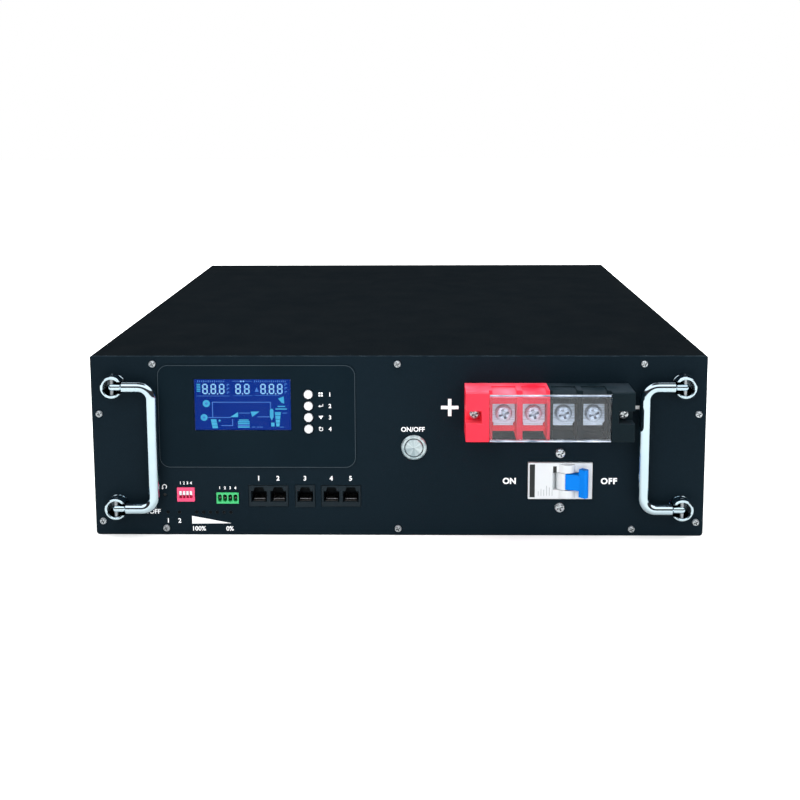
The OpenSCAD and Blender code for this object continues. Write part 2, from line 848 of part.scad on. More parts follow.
// Strap that holds the breaker to the panel from behind
module breaker_bracket() {
    inner = breaker_h / 2;
    color("#9aa2a8") on_front(breaker_x, breaker_z) difference() {
        union() {
            for (s = [-1, 1]) {
                translate([0, s * (inner + bracket_t / 2), -(breaker_depth + bracket_t + panel_t) / 2])
                    cube([bracket_w, bracket_t, breaker_depth + bracket_t - panel_t], center = true);
                translate([0, s * (inner + 6), -panel_t - 1]) cube([bracket_w, 12, 2], center = true);
            }
            translate([0, 0, -breaker_depth - bracket_t / 2]) cube([bracket_w, 2 * inner + 1, bracket_t], center = true);
        }
        for (s = [-1, 1]) translate([0, s * m4_gap, 0]) cylinder(r = m4_r, h = 30, center = true);
    }
}

// Two screws hold the breaker's strap and two hold the terminal block
module block_screws() {
    color(steel) {
        for (s = [-1, 1]) on_front(breaker_x, breaker_z + s * m4_gap) pan_screw(3.6, 2.4, m4_r, 9);
        for (s = [-1, 1]) on_front(block_x + s * notch_x, block_z + block_h / 2, notch_floor)
            pan_screw(3.6, 2.4, m4_r, notch_floor + 8);
    }
}

// ---------------------------------------------------------------- terminal block

// One half of the block, from the middle wall towards +x, on the panel
module half_block() {
    difference() {
        union() {
            // Base behind the contact bars
            translate([0, base_lift, 0]) cube([end_start + 1, block_h - base_lift, base_out]);
            // Walls of the two cells
            for (x = [0, cell_pitch, cell_pitch * 2]) cell_divider(x == 0 ? 0 : x - cell_wall / 2, x == 0 ? cell_wall / 2 : cell_wall);
            // Hoods over the cells
            rotate([90, 0, 90]) linear_extrude(end_start) polygon([
                [block_h - 1, 0], [block_h - 1, 19], [block_h - 4, 23.4], [block_h - hood_drop, 23.4],
                [block_h - hood_drop, base_out - 1], [block_h - hood_drop - 2, 0]
            ]);
            // End piece
            translate([end_start, 0, 0]) end_piece();
        }
        for (x = cell_xs) {
            // Slot for the bar's tab, and the screw's clearance behind the bar
            translate([x - bar_w / 2, tab_rise, -1]) cube([bar_w, bar_t, base_out + 2]);
            translate([x, plate_rise, 2]) cylinder(r = m6_r + 0.4, h = base_out);
        }
        // Bore for the cover's hinge pin
        translate([end_start - 1, hinge_rise, hinge_out]) rotate([0, 90, 0]) cylinder(r = hinge_r + running_gap, h = 4);
    }
}

// Wall between cells, with its top front corner cut back
module cell_divider(x, w) {
    translate([x, 0, 0]) rotate([90, 0, 90]) linear_extrude(w) polygon([
        [0, 0], [block_h, 0], [block_h, block_out - 3.5], [block_h - 4, block_out - 1.4],
        [block_h - 7, block_out], [1, block_out], [0, block_out - 1]
    ]);
}

module end_piece() {
    w = half_block_w - end_start;
    difference() {
        rotate([90, 0, 90]) linear_extrude(w) polygon([
            [0, 0], [block_h, 0], [block_h, end_out - 1], [block_h - 1, end_out], [1, end_out], [0, end_out - 1]
        ]);
        // Notch for the fixing screw, open to the front and the outer side
        translate([notch_x - end_start - 4.5, block_h / 2 - notch_h / 2, notch_floor])
            cube([w, notch_h, end_out]);
        translate([notch_x - end_start, block_h / 2, -1]) cylinder(r = m4_r + 0.2, h = end_out);
    }
}

module terminal_block_red() {
    color(red_plastic) on_front(block_x, block_z) mirror([1, 0, 0]) half_block();
}

module terminal_block_black() {
    color(dark_plastic) on_front(block_x, block_z) half_block();
}

// Places children at each of the four cells, on the panel
module at_cells() {
    for (s = [-1, 1], x = cell_xs) on_front(block_x + s * x, block_z) children();
}

// Contact bar with a tab that runs back through the panel
module terminal_bars() {
    color("#d7dbe0") at_cells() difference() {
        union() {
            translate([-bar_w / 2, tab_rise, base_out]) cube([bar_w, 17, bar_t]);
            translate([-bar_w / 2, tab_rise, -tab_in]) cube([bar_w, bar_t, tab_in + base_out + 1]);
        }
        translate([0, plate_rise, 0]) cylinder(r = m6_r, h = 40, center = true);
    }
}

module clamp_plates() {
    color(chrome) at_cells() translate([0, plate_rise, 0]) difference() {
        slab(plate_out, plate_out + plate_t) cut_rect(clamp_w, 15.8, 1.8);
        cylinder(r = m6_r, h = 60, center = true);
    }
}

module clamp_screws() {
    color(chrome) at_cells() translate([0, plate_rise, plate_out + plate_t]) pan_screw(5.8, 4.2, m6_r, 10.5);
}

// Clear cover that hangs from two pins and flips up
module terminal_cover() {
    color("#cfe4f2", 0.4) on_front(block_x, block_z) {
        rotate([90, 0, 90]) translate([0, 0, -cover_half_w]) linear_extrude(2 * cover_half_w) {
            translate([0.2, hinge_out - cover_t / 2]) square([hinge_rise - 0.2, cover_t]);
            translate([hinge_rise, hinge_out]) circle(cover_t / 2 + 0.4);
            // Finger lip along the lower edge
            polygon([[0.2, hinge_out], [2, hinge_out], [2, 27.6], [1.6, 28.6], [0.6, 28.6], [0.2, 28]]);
        }
        translate([0, hinge_rise, hinge_out]) rotate([0, 90, 0])
            cylinder(r = hinge_r, h = 2 * cover_half_w + 5.4, center = true);
    }
}

// ---------------------------------------------------------------- control electronics

// Places children on the tray under the control board's corners and middle
module at_control_pillars() {
    for (sx = [-1, 0, 1], sy = [-1, 1])
        translate([control_x + sx * (control_w / 2 - 8), control_y + sy * (control_d / 2 - 8), 0]) children();
}

// Board with its two rows of power transistors
module control_board() {
    board_z = sheet_t + pillar_h;
    color(board_green) block(
        [control_x - control_w / 2, control_y - control_d / 2, board_z],
        [control_x + control_w / 2, control_y + control_d / 2, control_top]
    );
    color("#22262a") for (i = [0:9], dy = [-8, 8])
        translate([sink_x - 81 + i * 18, sink_y + dy, control_top + chip_h / 2 - 0.1])
            cube([10, 9, chip_h + 0.2], center = true);
}

// Extruded cooler with upright fins, on the transistors
module heat_sink() {
    foot = control_top + chip_h;
    color("#aab2b8") translate([sink_x + sink_w / 2, sink_y, foot]) rotate([90, 0, -90])
        linear_extrude(sink_w) {
            translate([-20, 0]) square([40, 4]);
            for (i = [0:7]) translate([-20 + i * 5.5, 0]) square([1.5, 18]);
        }
}

// Copper bar from the rear row's positive post to the breaker
module positive_bar() {
    x7 = 3.5 * cell_step;
    post_y = rear_row_y - post_gap / 2;
    side_x = stack_half_w + end_plate_t + 6;
    y0 = front_y + 39;
    foot_z = breaker_z - 3.1;
    color(copper) {
        block([x7 - link_w / 2, post_y - link_w / 2, post_top], [side_x + bus_t, post_y + link_w / 2, post_top + link_t]);
        block([side_x, y0, post_top - 20], [side_x + bus_t, post_y + link_w / 2, post_top + 0.5]);
        block([168, y0, post_top - 20], [side_x + 1, y0 + bus_t, post_top]);
        block([168, y0, foot_z], [188, y0 + bus_t, post_top]);
        block([155, front_y + 28, foot_z], [188, y0 + bus_t, foot_z + bus_t]);
    }
}

// Copper link from the breaker to the red terminals
module positive_link() {
    plate_z = block_z + tab_rise - bus_t;
    foot_z = breaker_z - 3.1;
    color(copper) {
        block([66, front_y + 8, plate_z], [103, front_y + 42, plate_z + bus_t]);
        block([66, front_y + 28, foot_z], [69, front_y + 42, plate_z + 1]);
        block([66, front_y + 28, foot_z], [79, front_y + 42, foot_z + bus_t]);
    }
}

// Copper bar from the front row's negative post to the control board
module negative_bar() {
    x7 = 3.5 * cell_step;
    post_y = front_row_y + post_gap / 2;
    y0 = front_row_y - cell_w / 2 - 20;
    lane = [x7 + 11.3, x7 + 23.3];
    color(copper) {
        block([x7 - link_w / 2, post_y - link_w / 2, post_top], [lane[1], post_y + link_w / 2, post_top + link_t]);
        block([lane[0], y0, post_top], [lane[1], post_y + 1, post_top + link_t]);
        block([lane[0], y0, 24], [lane[1], y0 + link_t, post_top + 1]);
        block([36, y0, 24], [lane[1], y0 + link_t, 44]);
        block([36, y0, control_top], [56, y0 + link_t, 44]);
        block([36, y0 - 20, control_top], [56, y0 + link_t, control_top + link_t]);
    }
}

// Copper link from the control board to the black terminals
module negative_link() {
    plate_z = block_z + tab_rise - bus_t;
    y0 = front_y + 78;
    color(copper) {
        block([110, front_y + 8, plate_z], [145, y0 + bus_t, plate_z + bus_t]);
        block([30, y0, plate_z - 20], [145, y0 + bus_t, plate_z + 1]);
        block([30, y0, control_top], [50, y0 + bus_t, plate_z]);
        block([30, y0 - 16, control_top], [50, y0 + 1, control_top + bus_t]);
    }
}

// Flat cables between the boards, side profiles drawn in depth and height
module ribbon_cables() {
    display_back = front_y - display_board_out + board_t;
    port_back = front_y - port_board_out + board_t;
    color("#9aa4ad") {
        translate([-120, 0, 0]) rotate([90, 0, 90]) linear_extrude(26) polygon([
            [display_back, 82], [display_back + 6, 82], [port_back + 4, 62], [port_back + 4, 44],
            [port_back, 44], [port_back, 43], [port_back + 5, 43], [port_back + 5, 62.4],
            [display_back + 6.6, 83], [display_back, 83]
        ]);
        translate([-80, 0, 0]) rotate([90, 0, 90]) linear_extrude(26) polygon([
            [port_back, 34], [port_back + 9, 34], [port_back + 9, control_top], [port_back + 10, control_top],
            [port_back + 10, 35], [port_back, 35]
        ]);
    }
}

// ---------------------------------------------------------------- cells

module base_pad() {
    color("#3a3f44") block(
        [-stack_half_w, front_row_y - cell_w / 2, sheet_t],
        [stack_half_w, rear_row_y + cell_w / 2, can_z]
    );
}

// One prismatic cell: a can with round upright edges, two posts on gaskets and a vent
module prismatic_cell() {
    color("#2f5fa8") difference() {
        linear_extrude(can_h) rounded_rect(cell_step - can_gap, cell_w, 3);
        translate([0, 0, can_h - 0.6]) linear_extrude(2) rounded_rect(11, 22, 5);
    }
    color(steel) for (s = [-1, 1]) translate([0, s * post_gap / 2, 0]) {
        translate([0, 0, can_h - 0.5]) linear_extrude(1.1) rounded_rect(24, 22, 3);
        translate([0, 0, can_h - 0.5]) cylinder(r = 8, h = post_h + 0.5);
    }
}

module cell_row(y) {
    for (i = [0:cells_per_row - 1]) translate([(i - 3.5) * cell_step, y, can_z]) prismatic_cell();
}

module cells_front_row() { cell_row(front_row_y); }
module cells_rear_row() { cell_row(rear_row_y); }

// Links that put all cells in series, side by side in each row and once across the rows
module cell_links() {
    color("#c9ced4") {
        for (i = [0:cells_per_row - 2]) {
            side = i % 2 == 0 ? -1 : 1;
            cell_link([(i - 3) * cell_step, front_row_y + side * post_gap / 2], [cell_step + link_w, link_w]);
            cell_link([(i - 3) * cell_step, rear_row_y - side * post_gap / 2], [cell_step + link_w, link_w]);
        }
        cell_link(
            [-3.5 * cell_step, (front_row_y + rear_row_y) / 2],
            [link_w, rear_row_y - front_row_y - post_gap + link_w]
        );
    }
}

module cell_link(centre, size) {
    translate([centre.x, centre.y, post_top]) linear_extrude(link_t) rounded_rect(size.x, size.y, 2);
}

module link_cover() {
    color("#e8e4d0") block(
        [-stack_half_w + 1, front_row_y - cell_w / 2 + 2, post_top + link_t],
        [stack_half_w - 1, rear_row_y + cell_w / 2 - 2, post_top + link_t + 0.8]
    );
}

module end_plates() {
    color("#aeb5ba") for (s = [-1, 1], y = [front_row_y, rear_row_y])
        translate([s * (stack_half_w + end_plate_t / 2), y, can_z]) linear_extrude(end_plate_h)
            square([end_plate_t, cell_w], center = true);
}

// Steel bands round each row and its end plates
module stack_bands() {
    w = 2 * (stack_half_w + end_plate_t);
    color("#8f979d") for (y = [front_row_y, rear_row_y], z = band_zs)
        translate([0, y, z]) linear_extrude(band_h) difference() {
            square([w + 2 * band_t, cell_w + 2 * band_t], center = true);
            square([w, cell_w], center = true);
        }
}

// ---------------------------------------------------------------- assembly

base_tray();
top_cover();
cover_screws();
front_panel();
panel_screws();
handle_cups();
handle_pins();
handle_nuts();
handle_left();
handle_right();
display_fascia();
display_window();
display_module();
display_board();
key_menu();
key_enter();
key_down();
key_escape();
push_switches();
board_nuts();
button_housing();
button_nut();
power_button();
port_board();
reset_plunger();
light_pipes();
bank_body();
bank_slider_1();
bank_slider_2();
bank_slider_3();
bank_slider_4();
contact_header();
paired_jacks();
single_jack();
port_contacts();
breaker_body();
toggle_drum();
breaker_toggle();
breaker_bracket();
block_screws();
terminal_block_red();
terminal_block_black();
terminal_bars();
clamp_plates();
clamp_screws();
terminal_cover();
control_board();
heat_sink();
positive_bar();
positive_link();
negative_bar();
negative_link();
ribbon_cables();
base_pad();
cells_front_row();
cells_rear_row();
cell_links();
link_cover();
end_plates();
stack_bands();
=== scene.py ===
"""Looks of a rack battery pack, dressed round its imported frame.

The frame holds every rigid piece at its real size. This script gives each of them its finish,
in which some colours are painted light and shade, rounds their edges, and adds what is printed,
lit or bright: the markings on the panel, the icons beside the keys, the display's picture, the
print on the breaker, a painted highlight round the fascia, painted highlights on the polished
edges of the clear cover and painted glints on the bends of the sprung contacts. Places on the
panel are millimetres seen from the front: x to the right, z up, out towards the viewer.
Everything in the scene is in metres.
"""

from __future__ import annotations

import json
import logging
import math
from collections.abc import Iterable
from dataclasses import dataclass, field
from enum import Enum
from itertools import cycle

import bmesh
import bpy
from mathutils import Matrix, Vector

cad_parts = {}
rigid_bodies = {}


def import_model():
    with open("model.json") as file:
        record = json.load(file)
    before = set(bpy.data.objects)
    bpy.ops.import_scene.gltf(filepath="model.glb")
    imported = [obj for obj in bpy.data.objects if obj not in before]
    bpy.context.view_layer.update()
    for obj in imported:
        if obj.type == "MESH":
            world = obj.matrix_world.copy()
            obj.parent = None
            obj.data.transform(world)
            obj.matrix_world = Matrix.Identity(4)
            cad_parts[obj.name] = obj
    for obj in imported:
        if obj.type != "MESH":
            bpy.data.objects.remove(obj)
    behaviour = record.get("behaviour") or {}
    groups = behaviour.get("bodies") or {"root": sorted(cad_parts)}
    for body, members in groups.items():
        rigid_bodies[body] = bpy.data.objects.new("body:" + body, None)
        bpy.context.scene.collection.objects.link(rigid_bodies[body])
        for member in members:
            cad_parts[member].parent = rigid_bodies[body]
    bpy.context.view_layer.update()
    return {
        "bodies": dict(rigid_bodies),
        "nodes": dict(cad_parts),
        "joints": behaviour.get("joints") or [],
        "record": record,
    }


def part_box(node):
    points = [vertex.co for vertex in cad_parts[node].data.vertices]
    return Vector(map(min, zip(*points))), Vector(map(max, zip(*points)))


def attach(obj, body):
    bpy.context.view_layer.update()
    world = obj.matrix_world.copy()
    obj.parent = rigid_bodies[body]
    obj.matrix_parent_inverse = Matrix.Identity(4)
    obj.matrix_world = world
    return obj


LOG = logging.getLogger("battery_pack")
MM: float = 0.001
Colour = tuple[float, float, float, float]
Place = tuple[float, float]
Point = tuple[float, float, float]
Outline = tuple[Place, ...]
BLACK: Colour = (0.0, 0.0, 0.0, 1.0)
WHITE: Colour = (1.0, 1.0, 1.0, 1.0)
PORT_XS: tuple[float, ...] = (-101.1, -87.1, -67.45, -48.3, -34.3)
FULL_TURN: float = 360.0
MIDDLE_RANGE: tuple[float, float] = (0.3, 0.7)


def srgb(red: int, green: int, blue: int) -> Colour:
    """Turn a colour of 0 to 255 per channel into the linear values that shaders take.

    Args:
        red: Red, 0 to 255.
        green: Green, 0 to 255.
        blue: Blue, 0 to 255.

    Returns:
        The linear colour with an alpha of 1.
    """

    def linear(value: int) -> float:
        """Undo the display curve of one channel."""
        share = value / 255
        return share / 12.92 if share <= 0.04045 else ((share + 0.055) / 1.055) ** 2.4

    return linear(red), linear(green), linear(blue), 1.0


# ---------------------------------------------------------------- shader node groups


class NodeWriter:
    """Adds and joins shader nodes in one tree."""

    def __init__(self, tree: bpy.types.NodeTree) -> None:
        """Keep the tree that nodes go into."""
        self.tree = tree

    def add(self, kind: str, **settings: object) -> bpy.types.Node:
        """Add a node.

        Args:
            kind: Blender's name of the node type.
            **settings: Properties of the node to set.

        Returns:
            The new node.
        """
        node = self.tree.nodes.new(kind)
        for key, value in settings.items():
            setattr(node, key, value)
        return node

    def feed(self, target: bpy.types.NodeSocket, value: object) -> None:
        """Join a socket to an input, or set the input to a plain value.

        Args:
            target: The input.
            value: A socket, or the plain value.
        """
        if isinstance(value, bpy.types.NodeSocket):
            self.tree.links.new(value, target)
        else:
            target.default_value = value

    def maths(self, operation: str, first: object, second: object = 0.0) -> bpy.types.NodeSocket:
        """Add a maths node.

        Args:
            operation: Blender's name of the operation.
            first: A socket or a number.
            second: A socket or a number.

        Returns:
            The result's socket.
        """
        node = self.add("ShaderNodeMath", operation=operation)
        self.feed(node.inputs[0], first)
        self.feed(node.inputs[1], second)
        return node.outputs[0]

    def noise(self, vector: bpy.types.NodeSocket, scale: object, detail: float = 2.0) -> bpy.types.NodeSocket:
        """Add a noise texture.

        Args:
            vector: The place on the surface.
            scale: Waves per metre, a socket or a number.
            detail: Octaves.

        Returns:
            The noise's socket, 0 to 1.
        """
        node = self.add("ShaderNodeTexNoise")
        self.feed(node.inputs["Vector"], vector)
        self.feed(node.inputs["Scale"], scale)
        node.inputs["Detail"].default_value = detail
        return node.outputs["Fac"]

    def stretch(
        self, value: object, low: float, high: float, start: float = 0.0, end: float = 1.0
    ) -> bpy.types.NodeSocket:
        """Map a value from one range to another and clamp it.

        Args:
            value: The socket to map.
            low: The value that gives start.
            high: The value that gives end.
            start: The result at low.
            end: The result at high.

        Returns:
            The mapped socket.
        """
        node = self.add("ShaderNodeMapRange")
        for socket, given in zip(node.inputs[:5], (value, low, high, start, end)):
            self.feed(socket, given)
        return node.outputs[0]

    def blend(self, share: object, first: object, second: object) -> bpy.types.NodeSocket:
        """Mix two colours.

        Args:
            share: How much of the second colour shows, 0 to 1.
            first: A colour or a socket.
            second: A colour or a socket.

        Returns:
            The mixed colour's socket.
        """
        node = self.add("ShaderNodeMix", data_type="RGBA")
        for socket, given in zip((node.inputs[0], node.inputs[6], node.inputs[7]), (share, first, second)):
            self.feed(socket, given)
        return node.outputs[2]


class EffectGroup(NodeWriter):
    """A shader node group with named number inputs, built once and placed in each finish."""

    def __init__(self, name: str, inputs: dict[str, float], outputs: dict[str, str]) -> None:
        """Make the empty group.

        Args:
            name: The group's name.
            inputs: Default value of each input by name.
            outputs: Socket type of each output by name.
        """
        super().__init__(bpy.data.node_groups.new(name, "ShaderNodeTree"))
        for label, value in inputs.items():
            socket = self.tree.interface.new_socket(label, in_out="INPUT", socket_type="NodeSocketFloat")
            socket.default_value = value
        for label, kind in outputs.items():
            self.tree.interface.new_socket(label, in_out="OUTPUT", socket_type=kind)
        self.given = self.add("NodeGroupInput").outputs
        self.result = self.add("NodeGroupOutput").inputs
        self.place = self.add("ShaderNodeTexCoord").outputs["Object"]


class Effect(Enum):
    """The shared surface effects, by the name of their node group."""

    GRAIN = "surface_grain"
    WEAR = "rounded_edge_mask"
    CLOUDS = "tone_clouds"
    BRUSHING = "brushed_lines"
    DUST = "dust_and_top_light_veil"
    CREVICE = "crevice_shade"
    TURNING = "turned_rings"


def build_grain() -> None:
    """Build the grain group: fine bumps of a coating or a moulded face, and their specks."""
    coarse_scale, speck_range = 0.37, (0.56, 0.72)
    group = EffectGroup(
        Effect.GRAIN.value,
        {"Scale": 900.0, "Coarse": 0.5},
        {"Height": "NodeSocketFloat", "Specks": "NodeSocketFloat"},
    )
    fine = group.noise(group.place, group.given["Scale"])
    wide = group.noise(group.place, group.maths("MULTIPLY", group.given["Scale"], coarse_scale), detail=3.0)
    rise = group.maths("MULTIPLY", group.maths("SUBTRACT", wide, fine), group.given["Coarse"])
    group.feed(group.result["Height"], group.maths("ADD", fine, rise))
    group.feed(group.result["Specks"], group.stretch(fine, *speck_range))


def build_wear() -> None:
    """Build the edge group: rounded normals at edges, and a ragged mask along them, which paints edge highlights and
    frosts clear edges.
    """
    bend_range, ragged_range = (0.995, 0.86), (0.42, 0.62)
    group = EffectGroup(
        Effect.WEAR.value,
        {"Radius": 0.0005, "Amount": 0.5, "Scale": 160.0},
        {"Mask": "NodeSocketFloat", "Normal": "NodeSocketVector"},
    )
    rounded = group.add("ShaderNodeBevel", samples=4)
    group.feed(rounded.inputs["Radius"], group.given["Radius"])
    flat = group.add("ShaderNodeNewGeometry").outputs["Normal"]
    facing = group.add("ShaderNodeVectorMath", operation="DOT_PRODUCT")
    group.feed(facing.inputs[0], rounded.outputs["Normal"])
    group.feed(facing.inputs[1], flat)
    edge = group.stretch(facing.outputs["Value"], *bend_range)
    ragged = group.stretch(group.noise(group.place, group.given["Scale"], detail=5.0), *ragged_range)
    ragged_edge = group.maths("MULTIPLY", edge, ragged)
    group.feed(group.result["Mask"], group.maths("MULTIPLY", ragged_edge, group.given["Amount"]))
    group.feed(group.result["Normal"], rounded.outputs["Normal"])


def build_clouds() -> None:
    """Build the clouds group: a slow unevenness of tone over a surface, 0 to 1."""
    group = EffectGroup(Effect.CLOUDS.value, {"Scale": 12.0}, {"Tone": "NodeSocketFloat"})
    drift = group.noise(group.place, group.given["Scale"], detail=3.0)
    group.feed(group.result["Tone"], group.stretch(drift, *MIDDLE_RANGE))


def build_brushing() -> None:
    """Build the brushing group: fine lines along x, drawn out of stretched noise."""
    group = EffectGroup(Effect.BRUSHING.value, {"Scale": 900.0, "Stretch": 0.04}, {"Lines": "NodeSocketFloat"})
    parts = group.add("ShaderNodeSeparateXYZ")
    group.feed(parts.inputs[0], group.place)
    drawn = group.add("ShaderNodeCombineXYZ")
    group.feed(drawn.inputs["X"], group.maths("MULTIPLY", parts.outputs["X"], group.given["Stretch"]))
    group.feed(drawn.inputs["Y"], parts.outputs["Y"])
    group.feed(drawn.inputs["Z"], parts.outputs["Z"])
    group.feed(group.result["Lines"], group.noise(drawn.outputs[0], group.given["Scale"], detail=4.0))


def build_dust() -> None:
    """Build the upward veil group: a thin patchy veil on what faces up, a faint dusting on the case and painted top
    light on the terminal blocks.
    """
    slope_range, patch_range = (0.6, 0.95), (0.35, 0.75)
    group = EffectGroup(Effect.DUST.value, {"Amount": 0.1, "Scale": 40.0}, {"Mask": "NodeSocketFloat"})
    parts = group.add("ShaderNodeSeparateXYZ")
    group.feed(parts.inputs[0], group.add("ShaderNodeNewGeometry").outputs["Normal"])
    upward = group.stretch(parts.outputs["Z"], *slope_range)
    patches = group.stretch(group.noise(group.place, group.given["Scale"], detail=6.0), *patch_range)
    veil = group.maths("MULTIPLY", upward, patches)
    group.feed(group.result["Mask"], group.maths("MULTIPLY", veil, group.given["Amount"]))


def build_crevice() -> None:
    """Build the recess shade group: a mask of narrow recesses, where painted shade darkens the colour."""
    closed_range = (0.72, 0.3)
    group = EffectGroup(Effect.CREVICE.value, {"Depth": 0.002}, {"Mask": "NodeSocketFloat"})
    closed = group.add("ShaderNodeAmbientOcclusion", samples=8)
    group.feed(closed.inputs["Distance"], group.given["Depth"])
    group.feed(group.result["Mask"], group.stretch(closed.outputs["AO"], *closed_range))


def build_turning() -> None:
    """Build the turning group: rings round an axis along y for the bump, and a painted sheen of light rays round it.
    """
    ray_range = (0.42, 0.62)
    group = EffectGroup(
        Effect.TURNING.value,
        {"Across": 0.0, "Up": 0.0, "Rings": 5000.0, "Rays": 1.3},
        {"Height": "NodeSocketFloat", "Sheen": "NodeSocketFloat"},
    )
    parts = group.add("ShaderNodeSeparateXYZ")
    group.feed(parts.inputs[0], group.place)
    flat = group.add("ShaderNodeCombineXYZ")
    group.feed(flat.inputs["X"], group.maths("SUBTRACT", parts.outputs["X"], group.given["Across"]))
    group.feed(flat.inputs["Y"], group.maths("SUBTRACT", parts.outputs["Z"], group.given["Up"]))
    reach = group.add("ShaderNodeVectorMath", operation="LENGTH")
    group.feed(reach.inputs[0], flat.outputs[0])
    ring = group.add("ShaderNodeCombineXYZ")
    group.feed(ring.inputs["X"], reach.outputs["Value"])
    group.feed(group.result["Height"], group.noise(ring.outputs[0], group.given["Rings"]))
    turn = group.add("ShaderNodeVectorMath", operation="NORMALIZE")
    group.feed(turn.inputs[0], flat.outputs[0])
    rays = group.noise(turn.outputs[0], group.given["Rays"], detail=3.0)
    group.feed(group.result["Sheen"], group.stretch(rays, *ray_range))


# ---------------------------------------------------------------- finishes


class Sheet(NodeWriter):
    """A material under construction, with its Principled shader."""

    def __init__(self, name: str) -> None:
        """Make the material.

        Args:
            name: The material's name.
        """
        self.material = bpy.data.materials.new(name)
        self.material.use_nodes = True
        super().__init__(self.material.node_tree)
        self.shader = self.tree.nodes["Principled BSDF"]
        self.output = self.tree.nodes["Material Output"]

    def effect(self, effect: Effect, **values: float) -> bpy.types.NodeOutputs:
        """Place a shared effect.

        Args:
            effect: Which effect.
            **values: Its inputs, in lower case.

        Returns:
            The effect's outputs.
        """
        node = self.add("ShaderNodeGroup", node_tree=bpy.data.node_groups[effect.value])
        for label, value in values.items():
            node.inputs[label.capitalize()].default_value = value
        return node.outputs

    def set(self, **values: object) -> None:
        """Set or feed the Principled shader's sockets, named in lower case with underscores."""
        for label, value in values.items():
            self.feed(self.shader.inputs[label.replace("_", " ").title().replace("Ior", "IOR")], value)


@dataclass(frozen=True)
class Finish:
    """An opaque finish. Lengths are metres, and every share runs from 0 to 1."""

    name: str
    colour: Colour
    roughness: float = 0.5
    metallic: float = 0.0
    specular: float = 0.5
    coat: float = 0.0
    shade: Colour | None = None
    cloud_scale: float = 14.0
    uneven: float = 0.08
    grain_scale: float = 900.0
    grain_depth: float = 0.0
    speck_colour: Colour | None = None
    brushing: float = 0.0
    brushing_scale: float = 1400.0
    brushing_gloss: tuple[float, float] = (-0.06, 0.1)
    edge_radius: float = 0.0004
    # The next two paint a lighter highlight along the edges, broken up by noise.
    wear: float = 0.0
    wear_colour: Colour = (0.3, 0.3, 0.3, 1.0)
    # The next three lay a veil on what faces up: a faint dusting on the case, painted top light on the terminal
    # blocks.
    dust: float = 0.0
    dust_colour: Colour = srgb(150, 150, 146)
    dust_roughness: float = 0.3
    # The next two paint shade into narrow recesses.
    crevice: float = 0.0
    crevice_colour: Colour = (0.004, 0.005, 0.007, 1.0)
    turned_about: Place | None = None
    # The colour of the painted sheen: rays of light round the turning's axis.
    turned_sheen: Colour = (0.8, 0.85, 0.87, 1.0)
    turned_depth: float = 0.00001
    shade_share: float = 0.8

    def material(self) -> bpy.types.Material:
        """Build the finish's material.

        Returns:
            The material.
        """
        sheet = Sheet(self.name)
        sheet.set(metallic=self.metallic, specular_ior_level=self.specular, coat_weight=self.coat)
        tone = sheet.effect(Effect.CLOUDS, scale=self.cloud_scale)["Tone"]
        dark = self.shade or tuple(channel * self.shade_share for channel in self.colour[:3]) + (1.0,)
        colour = sheet.blend(tone, self.colour, dark)
        rough = sheet.stretch(tone, 0.0, 1.0, self.roughness - self.uneven, self.roughness + self.uneven)
        rounded_edge = sheet.effect(Effect.WEAR, radius=self.edge_radius, amount=self.wear)
        height = None
        if self.grain_depth:
            grain = sheet.effect(Effect.GRAIN, scale=self.grain_scale)
            height = sheet.maths("MULTIPLY", grain["Height"], self.grain_depth)
            if self.speck_colour:
                colour = sheet.blend(grain["Specks"], colour, self.speck_colour)
        if self.brushing:
            lines = sheet.effect(Effect.BRUSHING, scale=self.brushing_scale)["Lines"]
            height = sheet.maths("MULTIPLY", lines, self.brushing)
            rough = sheet.maths("ADD", rough, sheet.stretch(lines, *MIDDLE_RANGE, *self.brushing_gloss))
        # Painted sheen: lighter rays round the turning's axis, with rings for the bump.
        if self.turned_about:
            turned = sheet.effect(Effect.TURNING, across=self.turned_about[0], up=self.turned_about[1])
            colour = sheet.blend(turned["Sheen"], colour, self.turned_sheen)
            height = sheet.maths("MULTIPLY", turned["Height"], self.turned_depth)
        # Painted highlight: a lighter colour along the edges.
        if self.wear:
            colour = sheet.blend(rounded_edge["Mask"], colour, self.wear_colour)
        # Painted shade: a darker colour in narrow recesses, found by ambient occlusion.
        if self.crevice:
            closed = sheet.effect(Effect.CREVICE, depth=self.crevice)["Mask"]
            colour = sheet.blend(closed, colour, self.crevice_colour)
        # Upward veil: a faint dusting on the case, painted top light on the terminal blocks.
        if self.dust:
            veil = sheet.effect(Effect.DUST, amount=self.dust)["Mask"]
            colour = sheet.blend(veil, colour, self.dust_colour)
            rough = sheet.maths("ADD", rough, sheet.maths("MULTIPLY", veil, self.dust_roughness))
        normal = rounded_edge["Normal"]
        if height is not None:
            bump = sheet.add("ShaderNodeBump")
            bump.inputs["Distance"].default_value = 1.0
            sheet.feed(bump.inputs["Height"], height)
            sheet.feed(bump.inputs["Normal"], normal)
            normal = bump.outputs["Normal"]
        sheet.set(base_color=colour, roughness=rough, normal=normal)
        return sheet.material


